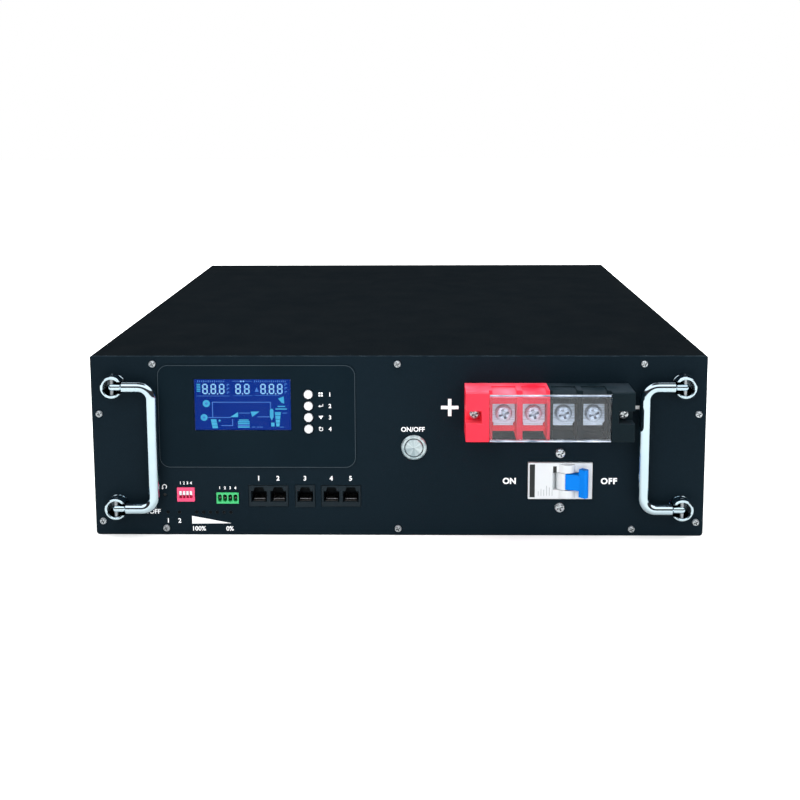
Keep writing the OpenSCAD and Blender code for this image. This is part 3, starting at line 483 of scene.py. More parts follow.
@dataclass(frozen=True)
class ClearFinish:
    """A clear plastic or glass that lets the lamps through to what is behind it."""

    name: str
    tint: Colour
    roughness: float = 0.02
    density: float = 1.49
    scuffs: float = 0.05
    scuff_scale: float = 60.0
    scuffed_from: float = 0.4
    edge_radius: float = 0.0006
    edge_frost: float = 0.0

    def material(self) -> bpy.types.Material:
        """Build the clear material, with Transparent in place of glass for the lamps' rays.

        Returns:
            The material.
        """
        sheet = Sheet(self.name)
        sheet.set(base_color=self.tint, ior=self.density, transmission_weight=1.0)
        tone = sheet.effect(Effect.CLOUDS, scale=self.scuff_scale)["Tone"]
        rough = sheet.stretch(tone, self.scuffed_from, 1.0, self.roughness, self.roughness + self.scuffs)
        edge = sheet.effect(Effect.WEAR, radius=self.edge_radius, amount=1.0, scale=self.scuff_scale)["Mask"]
        sheet.set(roughness=sheet.maths("ADD", rough, sheet.maths("MULTIPLY", edge, self.edge_frost)))
        mix = sheet.add("ShaderNodeMixShader")
        window = sheet.add("ShaderNodeBsdfTransparent")
        window.inputs["Color"].default_value = self.tint
        sheet.feed(mix.inputs[0], sheet.add("ShaderNodeLightPath").outputs["Is Shadow Ray"])
        sheet.feed(mix.inputs[1], sheet.shader.outputs[0])
        sheet.feed(mix.inputs[2], window.outputs[0])
        sheet.feed(sheet.output.inputs["Surface"], mix.outputs[0])
        return sheet.material


@dataclass(frozen=True)
class LitFinish:
    """A surface that glows by itself, such as a display's backlight."""

    name: str
    colour: Colour
    dim: Colour
    cloud_scale: float = 30.0

    def material(self) -> bpy.types.Material:
        """Build the glowing material.

        Returns:
            The material.
        """
        sheet = Sheet(self.name)
        sheet.set(base_color=BLACK, specular_ior_level=0.0, emission_strength=1.0)
        tone = sheet.effect(Effect.CLOUDS, scale=self.cloud_scale)["Tone"]
        sheet.set(emission_color=sheet.blend(tone, self.colour, self.dim))
        return sheet.material


class Finishes:
    """Every finish of the pack, by the slot of the record that takes it."""

    rigid: tuple[Finish | ClearFinish, ...] = (
        # Lighter edge colours below are painted highlights along the edges.
        Finish("case_paint", srgb(12, 16, 19), 0.72, specular=0.0, shade=srgb(11, 15, 18), uneven=0.04,
               cloud_scale=5.0, grain_scale=1500.0, grain_depth=0.00003, speck_colour=srgb(17, 22, 25), wear=1.0,
               wear_colour=srgb(104, 118, 126), dust=0.004),
        Finish("panel_paint", srgb(15, 28, 36), 0.66, specular=0.05, uneven=0.04, cloud_scale=6.0, grain_scale=1500.0,
               grain_depth=0.00003, speck_colour=srgb(20, 34, 43), wear=0.7, wear_colour=srgb(72, 86, 94)),
        # Dark recess colours below are painted shade in recesses, such as screw slots, cup interiors, pockets and
        # jack mouths.
        Finish("bright_screw", srgb(214, 222, 228), 0.24, metallic=0.8, brushing=0.000003,
               edge_radius=0.00015, crevice=0.0012),
        Finish("chrome", srgb(214, 235, 246), 0.05, metallic=1.0, uneven=0.02, cloud_scale=60.0,
               shade=srgb(204, 228, 242), edge_radius=0.0002, crevice=0.008),
        Finish("plated_steel", srgb(186, 192, 198), 0.34, metallic=1.0, brushing=0.000005),
        Finish("fascia_film", srgb(13, 27, 35), 0.42, specular=0.03, uneven=0.03, grain_scale=4000.0,
               grain_depth=0.000004, edge_radius=0.0003, wear=0.25, wear_colour=srgb(44, 58, 68)),
        Finish("display_frame", srgb(150, 156, 160), 0.3, metallic=1.0, brushing=0.000004),
        Finish("board_green", srgb(20, 82, 52), 0.4, coat=0.3, shade=srgb(14, 62, 40), grain_scale=600.0,
               grain_depth=0.00001, speck_colour=srgb(34, 108, 70)),
        Finish("key_white", srgb(222, 224, 228), 0.34, shade=srgb(212, 215, 220), edge_radius=0.0003),
        Finish("switch_black", srgb(32, 34, 37), 0.5),
        # The button's rays of lighter colour are a painted sheen.
        Finish("button_steel", srgb(174, 194, 202), 0.34, metallic=0.85, shade=srgb(162, 182, 190),
               edge_radius=0.0003, crevice=0.001, turned_about=(0.0117, 0.066), turned_sheen=srgb(212, 227, 232)),
        Finish("light_pipe", srgb(8, 14, 18), 0.4, specular=0.1, shade=srgb(5, 10, 14)),
        Finish("bank_red", srgb(236, 74, 120), 0.42, shade=srgb(222, 60, 106), edge_radius=0.0002),
        Finish("header_green", srgb(58, 186, 112), 0.4, shade=srgb(44, 166, 96), edge_radius=0.0002, wear=0.6,
               wear_colour=srgb(130, 226, 164), crevice=0.002, crevice_colour=srgb(6, 30, 22)),
        Finish("jack_black", srgb(27, 37, 43), 0.5, specular=0.1, grain_scale=2500.0, grain_depth=0.000006,
               edge_radius=0.0002, crevice=0.007),
        Finish("contact_gold", srgb(140, 138, 136), 0.5, metallic=1.0, edge_radius=0.0001),
        Finish("breaker_white", srgb(212, 216, 219), 0.42, shade=srgb(205, 210, 213), grain_scale=3000.0,
               grain_depth=0.000006, edge_radius=0.0003),
        Finish("toggle_blue", srgb(0, 121, 218), 0.45, specular=0.08, shade=srgb(0, 113, 210), edge_radius=0.0004),
        # The terminal blocks' pale upward veils are painted top light: lighter colour on what faces the top lamp.
        Finish("terminal_red", srgb(246, 38, 64), 0.45, specular=0.35, shade=srgb(236, 30, 56), grain_scale=2200.0,
               grain_depth=0.000008, edge_radius=0.0004, wear=0.35, wear_colour=srgb(255, 124, 142), dust=0.3,
               dust_colour=srgb(255, 190, 215)),
        Finish("terminal_black", srgb(13, 27, 33), 0.5, specular=0.08, grain_scale=2200.0,
               grain_depth=0.000008, edge_radius=0.0004, wear=0.4, wear_colour=srgb(70, 80, 90), dust=0.07,
               dust_colour=srgb(150, 160, 176)),
        Finish("nickel", srgb(250, 252, 255), 0.26, metallic=0.25, brushing=0.000005,
               shade=srgb(236, 241, 250), edge_radius=0.0003, crevice=0.002, crevice_colour=srgb(58, 54, 74)),
        ClearFinish("clear_cover", srgb(234, 242, 252), edge_frost=0.5),
        ClearFinish("display_glass", srgb(240, 246, 252), density=1.15, scuffs=0.01),
        Finish("bare_aluminium", srgb(196, 200, 204), 0.32, metallic=1.0, brushing=0.000006),
        Finish("copper", srgb(196, 122, 84), 0.3, metallic=1.0, shade=srgb(168, 98, 66), brushing=0.000006),
        Finish("ribbon_grey", srgb(150, 158, 166), 0.55, brushing=0.00001),
        Finish("pad_rubber", srgb(48, 52, 55), 0.8, grain_scale=700.0, grain_depth=0.00004),
        Finish("cell_blue", srgb(40, 84, 156), 0.36, coat=0.3, shade=srgb(32, 72, 140)),
        Finish("insulation_sheet", srgb(214, 208, 186), 0.5, shade=srgb(202, 195, 172)),
    )
    ink = Finish("white_ink", srgb(252, 253, 255), 0.5, uneven=0.03, shade=srgb(246, 249, 252),
                 edge_radius=0.00005)
    # Pale strips of painted highlight on the clear cover's polished edges, broken up by darker cloud.
    edge_light = Finish("edge_light", srgb(226, 236, 250), 0.2, shade=srgb(96, 116, 140), cloud_scale=90.0)
    # Pale plates of painted glint on the bends of the sprung contacts.
    contact_bend = Finish("contact_bend", srgb(176, 178, 182), 0.4, shade=srgb(150, 152, 158))
    # A lighter grey line of painted highlight round the fascia's edge.
    border = Finish("fascia_highlight_grey", srgb(44, 60, 70), 0.5, edge_radius=0.00005)
    strip = Finish("strip_black", srgb(20, 26, 30), 0.4, edge_radius=0.00005)
    fine_print = Finish("print_grey", srgb(150, 156, 162), 0.5, edge_radius=0.00005)
    backlight = LitFinish("display_backlight", srgb(12, 44, 134), srgb(18, 54, 146))
    segment = LitFinish("display_segment", srgb(164, 220, 255), srgb(140, 204, 255), cloud_scale=80.0)
    picture = LitFinish("display_picture", srgb(84, 190, 228), srgb(62, 168, 216), cloud_scale=80.0)
    faint_segment = LitFinish("display_line", srgb(84, 140, 222), srgb(66, 122, 208))

    def __init__(self) -> None:
        """Build the shared effects first, then every material."""
        for build in (
            build_grain, build_wear, build_clouds, build_brushing, build_dust, build_crevice, build_turning,
        ):
            build()
        extra = (self.ink, self.edge_light, self.contact_bend, self.border, self.strip, self.fine_print,
                 self.backlight, self.segment, self.picture, self.faint_segment)
        self.materials = {finish.name: finish.material() for finish in (*self.rigid, *extra)}

    def of(self, finish: Finish | LitFinish) -> bpy.types.Material:
        """Give the material of a finish."""
        return self.materials[finish.name]

    def dress_frame(self, frame: dict) -> None:
        """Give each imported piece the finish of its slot.
        """
        for row in frame["record"]["subparts"]:
            piece = frame["nodes"][row["node"]]
            for slot in piece.material_slots:
                slot.material = self.materials[row["material_slot"]]
            LOG.info("%s: %s", row["node"], row["material_slot"])


# ---------------------------------------------------------------- rounded edges


@dataclass
class EdgeRounding:
    """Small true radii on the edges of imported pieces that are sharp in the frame."""

    radii: dict[str, float] = field(default_factory=lambda: {
        "front_panel": 0.35, "top_cover": 0.3, "base_tray": 0.3,
        "terminal_block_red": 0.4, "terminal_block_black": 0.4, "terminal_cover": 0.3,
        "clamp_plates": 0.3, "terminal_bars": 0.3,
        "breaker_body": 0.35, "toggle_drum": 0.2, "breaker_toggle": 0.5,
        "paired_jacks": 0.2, "single_jack": 0.2, "contact_header": 0.15, "bank_body": 0.15,
        "bank_slider_1": 0.15, "bank_slider_2": 0.15, "bank_slider_3": 0.15, "bank_slider_4": 0.15,
        "display_fascia": 0.15, "display_window": 0.1,
    })
    sharpest: float = math.radians(40)
    flat_within: float = math.radians(0.4)
    weld_within: float = 1e-6
    segments: int = 2

    def build(self, frame: dict) -> None:
        """Round the edges of every listed piece.
        """
        smoothing = self.smoothing_group()
        for name, radius in self.radii.items():
            self.round_piece(frame["nodes"][name], radius, smoothing)
        LOG.info("rounded the edges of %d pieces", len(self.radii))

    def smoothing_group(self) -> bpy.types.NodeTree:
        """Build the modifier group that turns smooth shading on.

        Returns:
            The geometry node group.
        """
        tree = bpy.data.node_groups.new("smooth_faces", "GeometryNodeTree")
        tree.interface.new_socket("Geometry", in_out="INPUT", socket_type="NodeSocketGeometry")
        tree.interface.new_socket("Geometry", in_out="OUTPUT", socket_type="NodeSocketGeometry")
        given = tree.nodes.new("NodeGroupInput")
        smooth = tree.nodes.new("GeometryNodeSetShadeSmooth")
        result = tree.nodes.new("NodeGroupOutput")
        tree.links.new(given.outputs[0], smooth.inputs["Geometry"])
        tree.links.new(smooth.outputs[0], result.inputs[0])
        return tree

    def round_piece(self, piece: bpy.types.Object, radius: float, smoothing: bpy.types.NodeTree) -> None:
        """Weld, bevel and smooth one piece with modifiers, which leave its own mesh as it is.

        Args:
            piece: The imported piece.
            radius: Bevel width in millimetres.
            smoothing: The group that turns smooth shading on.
        """
        weld = piece.modifiers.new("weld", "WELD")
        weld.merge_threshold = self.weld_within
        flat = piece.modifiers.new("flat_faces", "DECIMATE")
        flat.decimate_type = "DISSOLVE"
        flat.angle_limit = self.flat_within
        bevel = piece.modifiers.new("round_edges", "BEVEL")
        bevel.width = radius * MM
        bevel.segments = self.segments
        bevel.limit_method = "ANGLE"
        bevel.angle_limit = self.sharpest
        bevel.use_clamp_overlap = True
        smooth = piece.modifiers.new("smooth_faces", "NODES")
        smooth.node_group = smoothing
        piece.modifiers.new("even_normals", "WEIGHTED_NORMAL")


# ---------------------------------------------------------------- printing on the panel


class Panel:
    """The front panel's plane, found from the frame."""

    def __init__(self) -> None:
        """Find the panel's face."""
        self.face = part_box("front_panel")[0].y

    def point(self, x: float, z: float, out: float) -> Vector:
        """Turn a place in millimetres on or in front of the panel into metres."""
        return Vector((x * MM, self.face - out * MM, z * MM))

    def turn(self, x: float, z: float, out: float, scale: float) -> Matrix:
        """Give the matrix that stands a flat drawing up on the panel.

        Args:
            x: Where the drawing's origin goes.
            z: Where the drawing's origin goes.
            out: Distance in front of the panel.
            scale: Millimetres per unit of the drawing.

        Returns:
            The matrix.
        """
        upright = Matrix.Rotation(math.radians(90), 4, "X")
        return Matrix.Translation(self.point(x, z, out)) @ upright @ Matrix.Scale(scale * MM, 4)


class Print:
    """Flat shapes of one ink, gathered into one thin piece."""

    least_steps: int = 8
    degrees_per_step: int = 8
    letter_depth: float = 0.5
    letter_curves: int = 4
    joined_within: float = 1e-7

    def __init__(self, name: str, panel: Panel, out: float = 0.0, thickness: float = 0.06) -> None:
        """Start an empty print.

        Args:
            name: The piece's name.
            panel: The panel's plane.
            out: Where the print's back lies, in millimetres in front of the panel.
            thickness: Its thickness in millimetres.
        """
        self.name = name
        self.panel = panel
        self.back = out
        self.front = out + thickness
        self.mesh = bmesh.new()

    def shape(self, outline: list[Place]) -> None:
        """Add a filled outline, given anticlockwise seen from the front.

        Args:
            outline: Its corners.
        """
        front = [self.mesh.verts.new(self.panel.point(x, z, self.front)) for x, z in outline]
        back = [self.mesh.verts.new(self.panel.point(x, z, self.back)) for x, z in outline]
        self.mesh.faces.new(front)
        self.mesh.faces.new(list(reversed(back)))
        for i, start in enumerate(front):
            j = (i + 1) % len(front)
            self.mesh.faces.new((start, back[i], back[j], front[j]))

    def rectangle(self, x: float, z: float, width: float, height: float) -> None:
        """Add a rectangle by its middle."""
        w, h = width / 2, height / 2
        self.shape([(x - w, z - h), (x + w, z - h), (x + w, z + h), (x - w, z + h)])

    def stroke(self, start: Place, end: Place, width: float) -> None:
        """Add a straight stroke between two places.

        Args:
            start: The middle of its first end.
            end: The middle of its last end.
            width: The stroke's width.
        """
        along = Vector(end) - Vector(start)
        side = Vector((-along.y, along.x)).normalized() * width / 2
        corners = (Vector(start) - side, Vector(end) - side, Vector(end) + side, Vector(start) + side)
        self.shape([tuple(corner) for corner in corners])

    def path(self, places: list[Place], width: float) -> None:
        """Add strokes through a list of places, with square corners.

        Args:
            places: The corners.
            width: The strokes' width.
        """
        for start, end in zip(places, places[1:]):
            along = (Vector(end) - Vector(start)).normalized() * width / 2
            self.stroke(tuple(Vector(start) - along), tuple(Vector(end) + along), width)

    def disc(self, x: float, z: float, radius: float, steps: int = 32) -> None:
        """Add a filled disc."""
        turns = [2 * math.pi * i / steps for i in range(steps)]
        self.shape([(x + radius * math.cos(a), z + radius * math.sin(a)) for a in turns])

    def arc(self, x: float, z: float, radius: float, width: float, first: float, last: float) -> None:
        """Add part of a ring.

        Args:
            x: The ring's middle.
            z: The ring's middle.
            radius: To the middle of the stroke.
            width: The stroke's width.
            first: Start angle in degrees, anticlockwise from the right.
            last: End angle in degrees.
        """
        steps = max(self.least_steps, int((last - first) / self.degrees_per_step))
        angles = [math.radians(first + (last - first) * i / steps) for i in range(steps + 1)]
        for a, b in zip(angles, angles[1:]):
            inner, outer = radius - width / 2, radius + width / 2
            self.shape([(x + r * math.cos(t), z + r * math.sin(t))
                        for r, t in ((inner, a), (outer, a), (outer, b), (inner, b))])

    def text(
        self, words: str, x: float, z: float, height: float, weight: float = 0.02, spacing: float = 1.0
    ) -> None:
        """Add figures or letters by their middle.

        Args:
            words: What it says.
            x: The middle.
            z: The middle.
            height: Height of a capital in millimetres.
            weight: How far the strokes are thickened, in shares of the font's size.
            spacing: Distance between letters, 1 being the font's own.
        """
        curve = bpy.data.curves.new("lettering", "FONT")
        curve.body = words
        curve.align_x, curve.align_y = "CENTER", "BOTTOM_BASELINE"
        curve.offset = weight
        curve.space_character = spacing
        curve.extrude = self.letter_depth
        curve.resolution_u = self.letter_curves
        drawn = bpy.data.objects.new("lettering", curve)
        bpy.context.scene.collection.objects.link(drawn)
        bpy.context.view_layer.update()
        solid = bpy.data.meshes.new_from_object(drawn.evaluated_get(bpy.context.evaluated_depsgraph_get()))
        top = max(v.co.y for v in solid.vertices)
        low = min(v.co.y for v in solid.vertices)
        scale = height / (top - low)
        depth = (self.front - self.back) / scale
        for v in solid.vertices:
            v.co = Vector((v.co.x, v.co.y - low, (v.co.z + self.letter_depth) * depth))
        solid.transform(self.panel.turn(x, z - height / 2, self.back, scale))
        self.mesh.from_mesh(solid)
        bpy.data.objects.remove(drawn)
        bpy.data.curves.remove(curve)
        bpy.data.meshes.remove(solid)

    def number(self, places: Iterable[Place], height: float) -> None:
        """Print 1, 2, 3 and so on at the given places."""
        for figure, (x, z) in enumerate(places, start=1):
            self.text(str(figure), x, z, height)

    def build(self, material: bpy.types.Material, body: str = "pack") -> None:
        """Make the piece and let it ride.

        Args:
            material: The ink.
            body: The body that it rides on.
        """
        bmesh.ops.remove_doubles(self.mesh, verts=self.mesh.verts, dist=self.joined_within)
        bmesh.ops.recalc_face_normals(self.mesh, faces=self.mesh.faces)
        data = bpy.data.meshes.new(self.name)
        self.mesh.to_mesh(data)
        self.mesh.free()
        data.materials.append(material)
        piece = bpy.data.objects.new(self.name, data)
        bpy.context.scene.collection.objects.link(piece)
        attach(piece, body)
        LOG.info("%s: %d faces", self.name, len(data.polygons))


@dataclass
class PanelMarkings:
    """White marks printed on the panel. Places and sizes are millimetres."""

    port_number_z: float = 42.7
    figure_height: float = 3.5
    small_height: float = 2.1
    row_length: int = 4
    bank_middle: Place = (-154.5, 39.0)
    bank_pitch: float = 2.54
    header_middle: Place = (-124.0, 35.4)
    header_pitch: float = 3.81
    lamp_numbers: tuple[Place, ...] = ((-168.0, 10.6), (-159.6, 10.6))
    wedge: Outline = ((-150.5, 8.3), (-121.7, 8.6), (-150.5, 14.1))
    full_mark: Place = (-145.7, 4.6)
    empty_mark: Place = (-122.9, 4.6)
    lamp_switch: Place = (-182.0, 17.5)
    reset_middle: Place = (-170.0, 36.2)
    reset_radius: float = 1.5
    reset_stroke: float = 0.5
    reset_turn: Place = (-60.0, 210.0)
    reset_head: Outline = ((-2.3, -0.9), (-0.4, -0.9), (-1.5, -2.1))
    button_label: Place = (11.0, 79.3)
    breaker_on: Place = (80.7, 41.0)
    breaker_off: Place = (152.4, 41.0)
    breaker_height: float = 4.7
    breaker_weight: float = 0.035
    breaker_spacing: float = 1.14
    plus: Place = (37.5, 95.5)
    minus: Place = (175.3, 95.7)
    sign_length: float = 12.6
    minus_length: float = 11.2
    sign_width: float = 2.5

    def build(self, panel: Panel, finishes: Finishes) -> None:
        """Print every mark.

        Args:
            panel: The panel's plane.
            finishes: The pack's finishes.
        """
        ink = finishes.of(Finishes.ink)
        self.ports(Print("port_numbers", panel)).build(ink)
        self.lamps(Print("lamp_scale", panel)).build(ink)
        self.switches(Print("switch_labels", panel)).build(ink)
        self.signs(Print("polarity_signs", panel)).build(ink)

    def row(self, middle: Place, pitch: float) -> list[Place]:
        """Give the places of a row of numbers from its middle and its pitch."""
        first = middle[0] - (self.row_length - 1) / 2 * pitch
        return [(first + i * pitch, middle[1]) for i in range(self.row_length)]

    def ports(self, sheet: Print) -> Print:
        """Number the ports, the bank's switches and the header's pins, and mark the reset hole.

        Args:
            sheet: The empty print.

        Returns:
            The filled print.
        """
        sheet.number([(x, self.port_number_z) for x in PORT_XS], self.figure_height)
        sheet.number(self.row(self.bank_middle, self.bank_pitch), self.small_height)
        sheet.number(self.row(self.header_middle, self.header_pitch), self.small_height)
        x, z = self.reset_middle
        sheet.arc(x, z, self.reset_radius, self.reset_stroke, *self.reset_turn)
        sheet.shape([(x + dx, z + dz) for dx, dz in self.reset_head])
        return sheet

    def lamps(self, sheet: Print) -> Print:
        """Number the two single lamps and give the charge lamps their wedge.

        Args:
            sheet: The empty print.

        Returns:
            The filled print.
        """
        sheet.number(self.lamp_numbers, self.figure_height)
        sheet.shape(list(self.wedge))
        sheet.text("100%", *self.full_mark, self.figure_height)
        sheet.text("0%", *self.empty_mark, self.figure_height)
        return sheet

    def switches(self, sheet: Print) -> Print:
        """Label what switches on and off.

        Args:
            sheet: The empty print.

        Returns:
            The filled print.
        """
        sheet.text("ON/OFF", *self.lamp_switch, self.figure_height)
        sheet.text("ON/OFF", *self.button_label, self.figure_height)
        sheet.text("ON", *self.breaker_on, self.breaker_height, self.breaker_weight)
        sheet.text("OFF", *self.breaker_off, self.breaker_height, self.breaker_weight, self.breaker_spacing)
        return sheet

    def signs(self, sheet: Print) -> Print:
        """Print the plus and minus signs beside the terminals.

        Args:
            sheet: The empty print.

        Returns:
            The filled print.
        """
        half, wide = self.sign_length / 2, self.sign_width
        x, z = self.plus
        sheet.stroke((x - half, z), (x + half, z), wide)
        sheet.stroke((x, z - half), (x, z - wide / 2), wide)
        sheet.stroke((x, z + wide / 2), (x, z + half), wide)
        x, z = self.minus
        half = self.minus_length / 2
        sheet.stroke((x - half, z), (x + half, z), wide)
        return sheet


@dataclass
class KeyIcons:
    """Icons and numbers beside the four keys, printed on the fascia.

    The icons' outlines are shares of their size, from their middle.
    """

    icon_x: float = -55.2
    number_x: float = -48.6
    size: float = 3.0
    stroke: float = 0.45
    figure_height: float = 3.0
    names: tuple[str, ...] = ("key_menu", "key_enter", "key_down", "key_escape")
    tile_step: float = 0.29
    tile_side: float = 0.42
    arrow_shaft: Outline = ((0.5, 0.35), (0.5, -0.05), (-0.2, -0.05))
    arrow_head: Outline = ((-0.6, -0.05), (-0.15, -0.35), (-0.15, 0.25))
    down_mark: Outline = ((0.0, -0.45), (0.55, 0.4), (-0.55, 0.4))
    ring_drop: float = 0.1
    ring_radius: float = 0.42
    ring_turn: Place = (-200.0, 80.0)
    ring_head: Outline = ((-0.6, 0.3), (-0.1, 0.1), (-0.1, 0.6))

    def build(self, panel: Panel, finishes: Finishes) -> None:
        """Print the icons.

        Args:
            panel: The panel's plane.
            finishes: The pack's finishes.
        """
        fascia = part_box("display_fascia")[0].y
        sheet = Print("key_icons", panel, (panel.face - fascia) / MM)
        for i, (name, draw) in enumerate(zip(self.names, (self.grid, self.arrow, self.triangle, self.ring))):
            low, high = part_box(name)
            z = (low.z + high.z) / 2 / MM
            draw(sheet, z)
            sheet.text(str(i + 1), self.number_x, z, self.figure_height)
        sheet.build(finishes.of(Finishes.ink))

    def scaled(self, outline: Outline, z: float) -> list[Place]:
        """Give an outline's places on the panel, in the icons' column at height z."""
        return [(self.icon_x + dx * self.size, z + dz * self.size) for dx, dz in outline]

    def grid(self, sheet: Print, z: float) -> None:
        """Draw four small squares.

        Args:
            sheet: The icons' print.
            z: The key's height.
        """
        step, side = self.tile_step, self.tile_side * self.size
        for x, middle in self.scaled(((-step, -step), (-step, step), (step, -step), (step, step)), z):
            sheet.rectangle(x, middle, side, side)

    def arrow(self, sheet: Print, z: float) -> None:
        """Draw an arrow that turns back to the left."""
        sheet.path(self.scaled(self.arrow_shaft, z), self.stroke)
        sheet.shape(self.scaled(self.arrow_head, z))

    def triangle(self, sheet: Print, z: float) -> None:
        """Draw a triangle that points down."""
        sheet.shape(self.scaled(self.down_mark, z))

    def ring(self, sheet: Print, z: float) -> None:
        """Draw an open ring with an arrow head.

        Args:
            sheet: The icons' print.
            z: The key's height.
        """
        radius = self.size * self.ring_radius
        sheet.arc(self.icon_x, z - self.ring_drop, radius, self.stroke, *self.ring_turn)
        sheet.shape(self.scaled(self.ring_head, z))


@dataclass
class FasciaBorder:
    """A painted edge highlight: a thin lighter line round the fascia, just inside its edge."""

    inset: float = 0.6
    width: float = 0.4
    corner: float = 8.0

    def build(self, panel: Panel, finishes: Finishes) -> None:
        """Lay the line of painted highlight.

        Args:
            panel: The panel's plane.
            finishes: The pack's finishes.
        """
        low, high = (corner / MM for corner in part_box("display_fascia"))
        sheet = Print("fascia_edge_highlight", panel, (panel.face - low.y * MM) / MM)
        radius = self.corner - self.inset
        left, right = low.x + self.corner, high.x - self.corner
        bottom, top = low.z + self.corner, high.z - self.corner
        for x, z, first in ((right, top, 0), (left, top, 90), (left, bottom, 180), (right, bottom, 270)):
            sheet.arc(x, z, radius, self.width, first, first + 90)
        sheet.stroke((left, bottom - radius), (right, bottom - radius), self.width)
        sheet.stroke((left, top + radius), (right, top + radius), self.width)
        sheet.stroke((left - radius, bottom), (left - radius, top), self.width)
        sheet.stroke((right + radius, bottom), (right + radius, top), self.width)
        sheet.build(finishes.of(Finishes.border))


# ---------------------------------------------------------------- display


class Tone(Enum):
    """How brightly a symbol of the display glows."""

    BRIGHT = "display_symbols"
    MIDDLE = "display_pictures"
    FAINT = "display_lines"


@dataclass(frozen=True)
class Bars:
    """Level bars of the display, repeated at even steps."""

    tone: Tone
    middle: Place
    size: Place
    count: int = 1
    step: Place = (0.0, 0.0)


@dataclass(frozen=True)
class Symbol:
    """A filled outline of the display, repeated with a step for each corner or one for all."""

    tone: Tone
    corners: Outline
    count: int = 1
    steps: Outline = ((0.0, 0.0),)


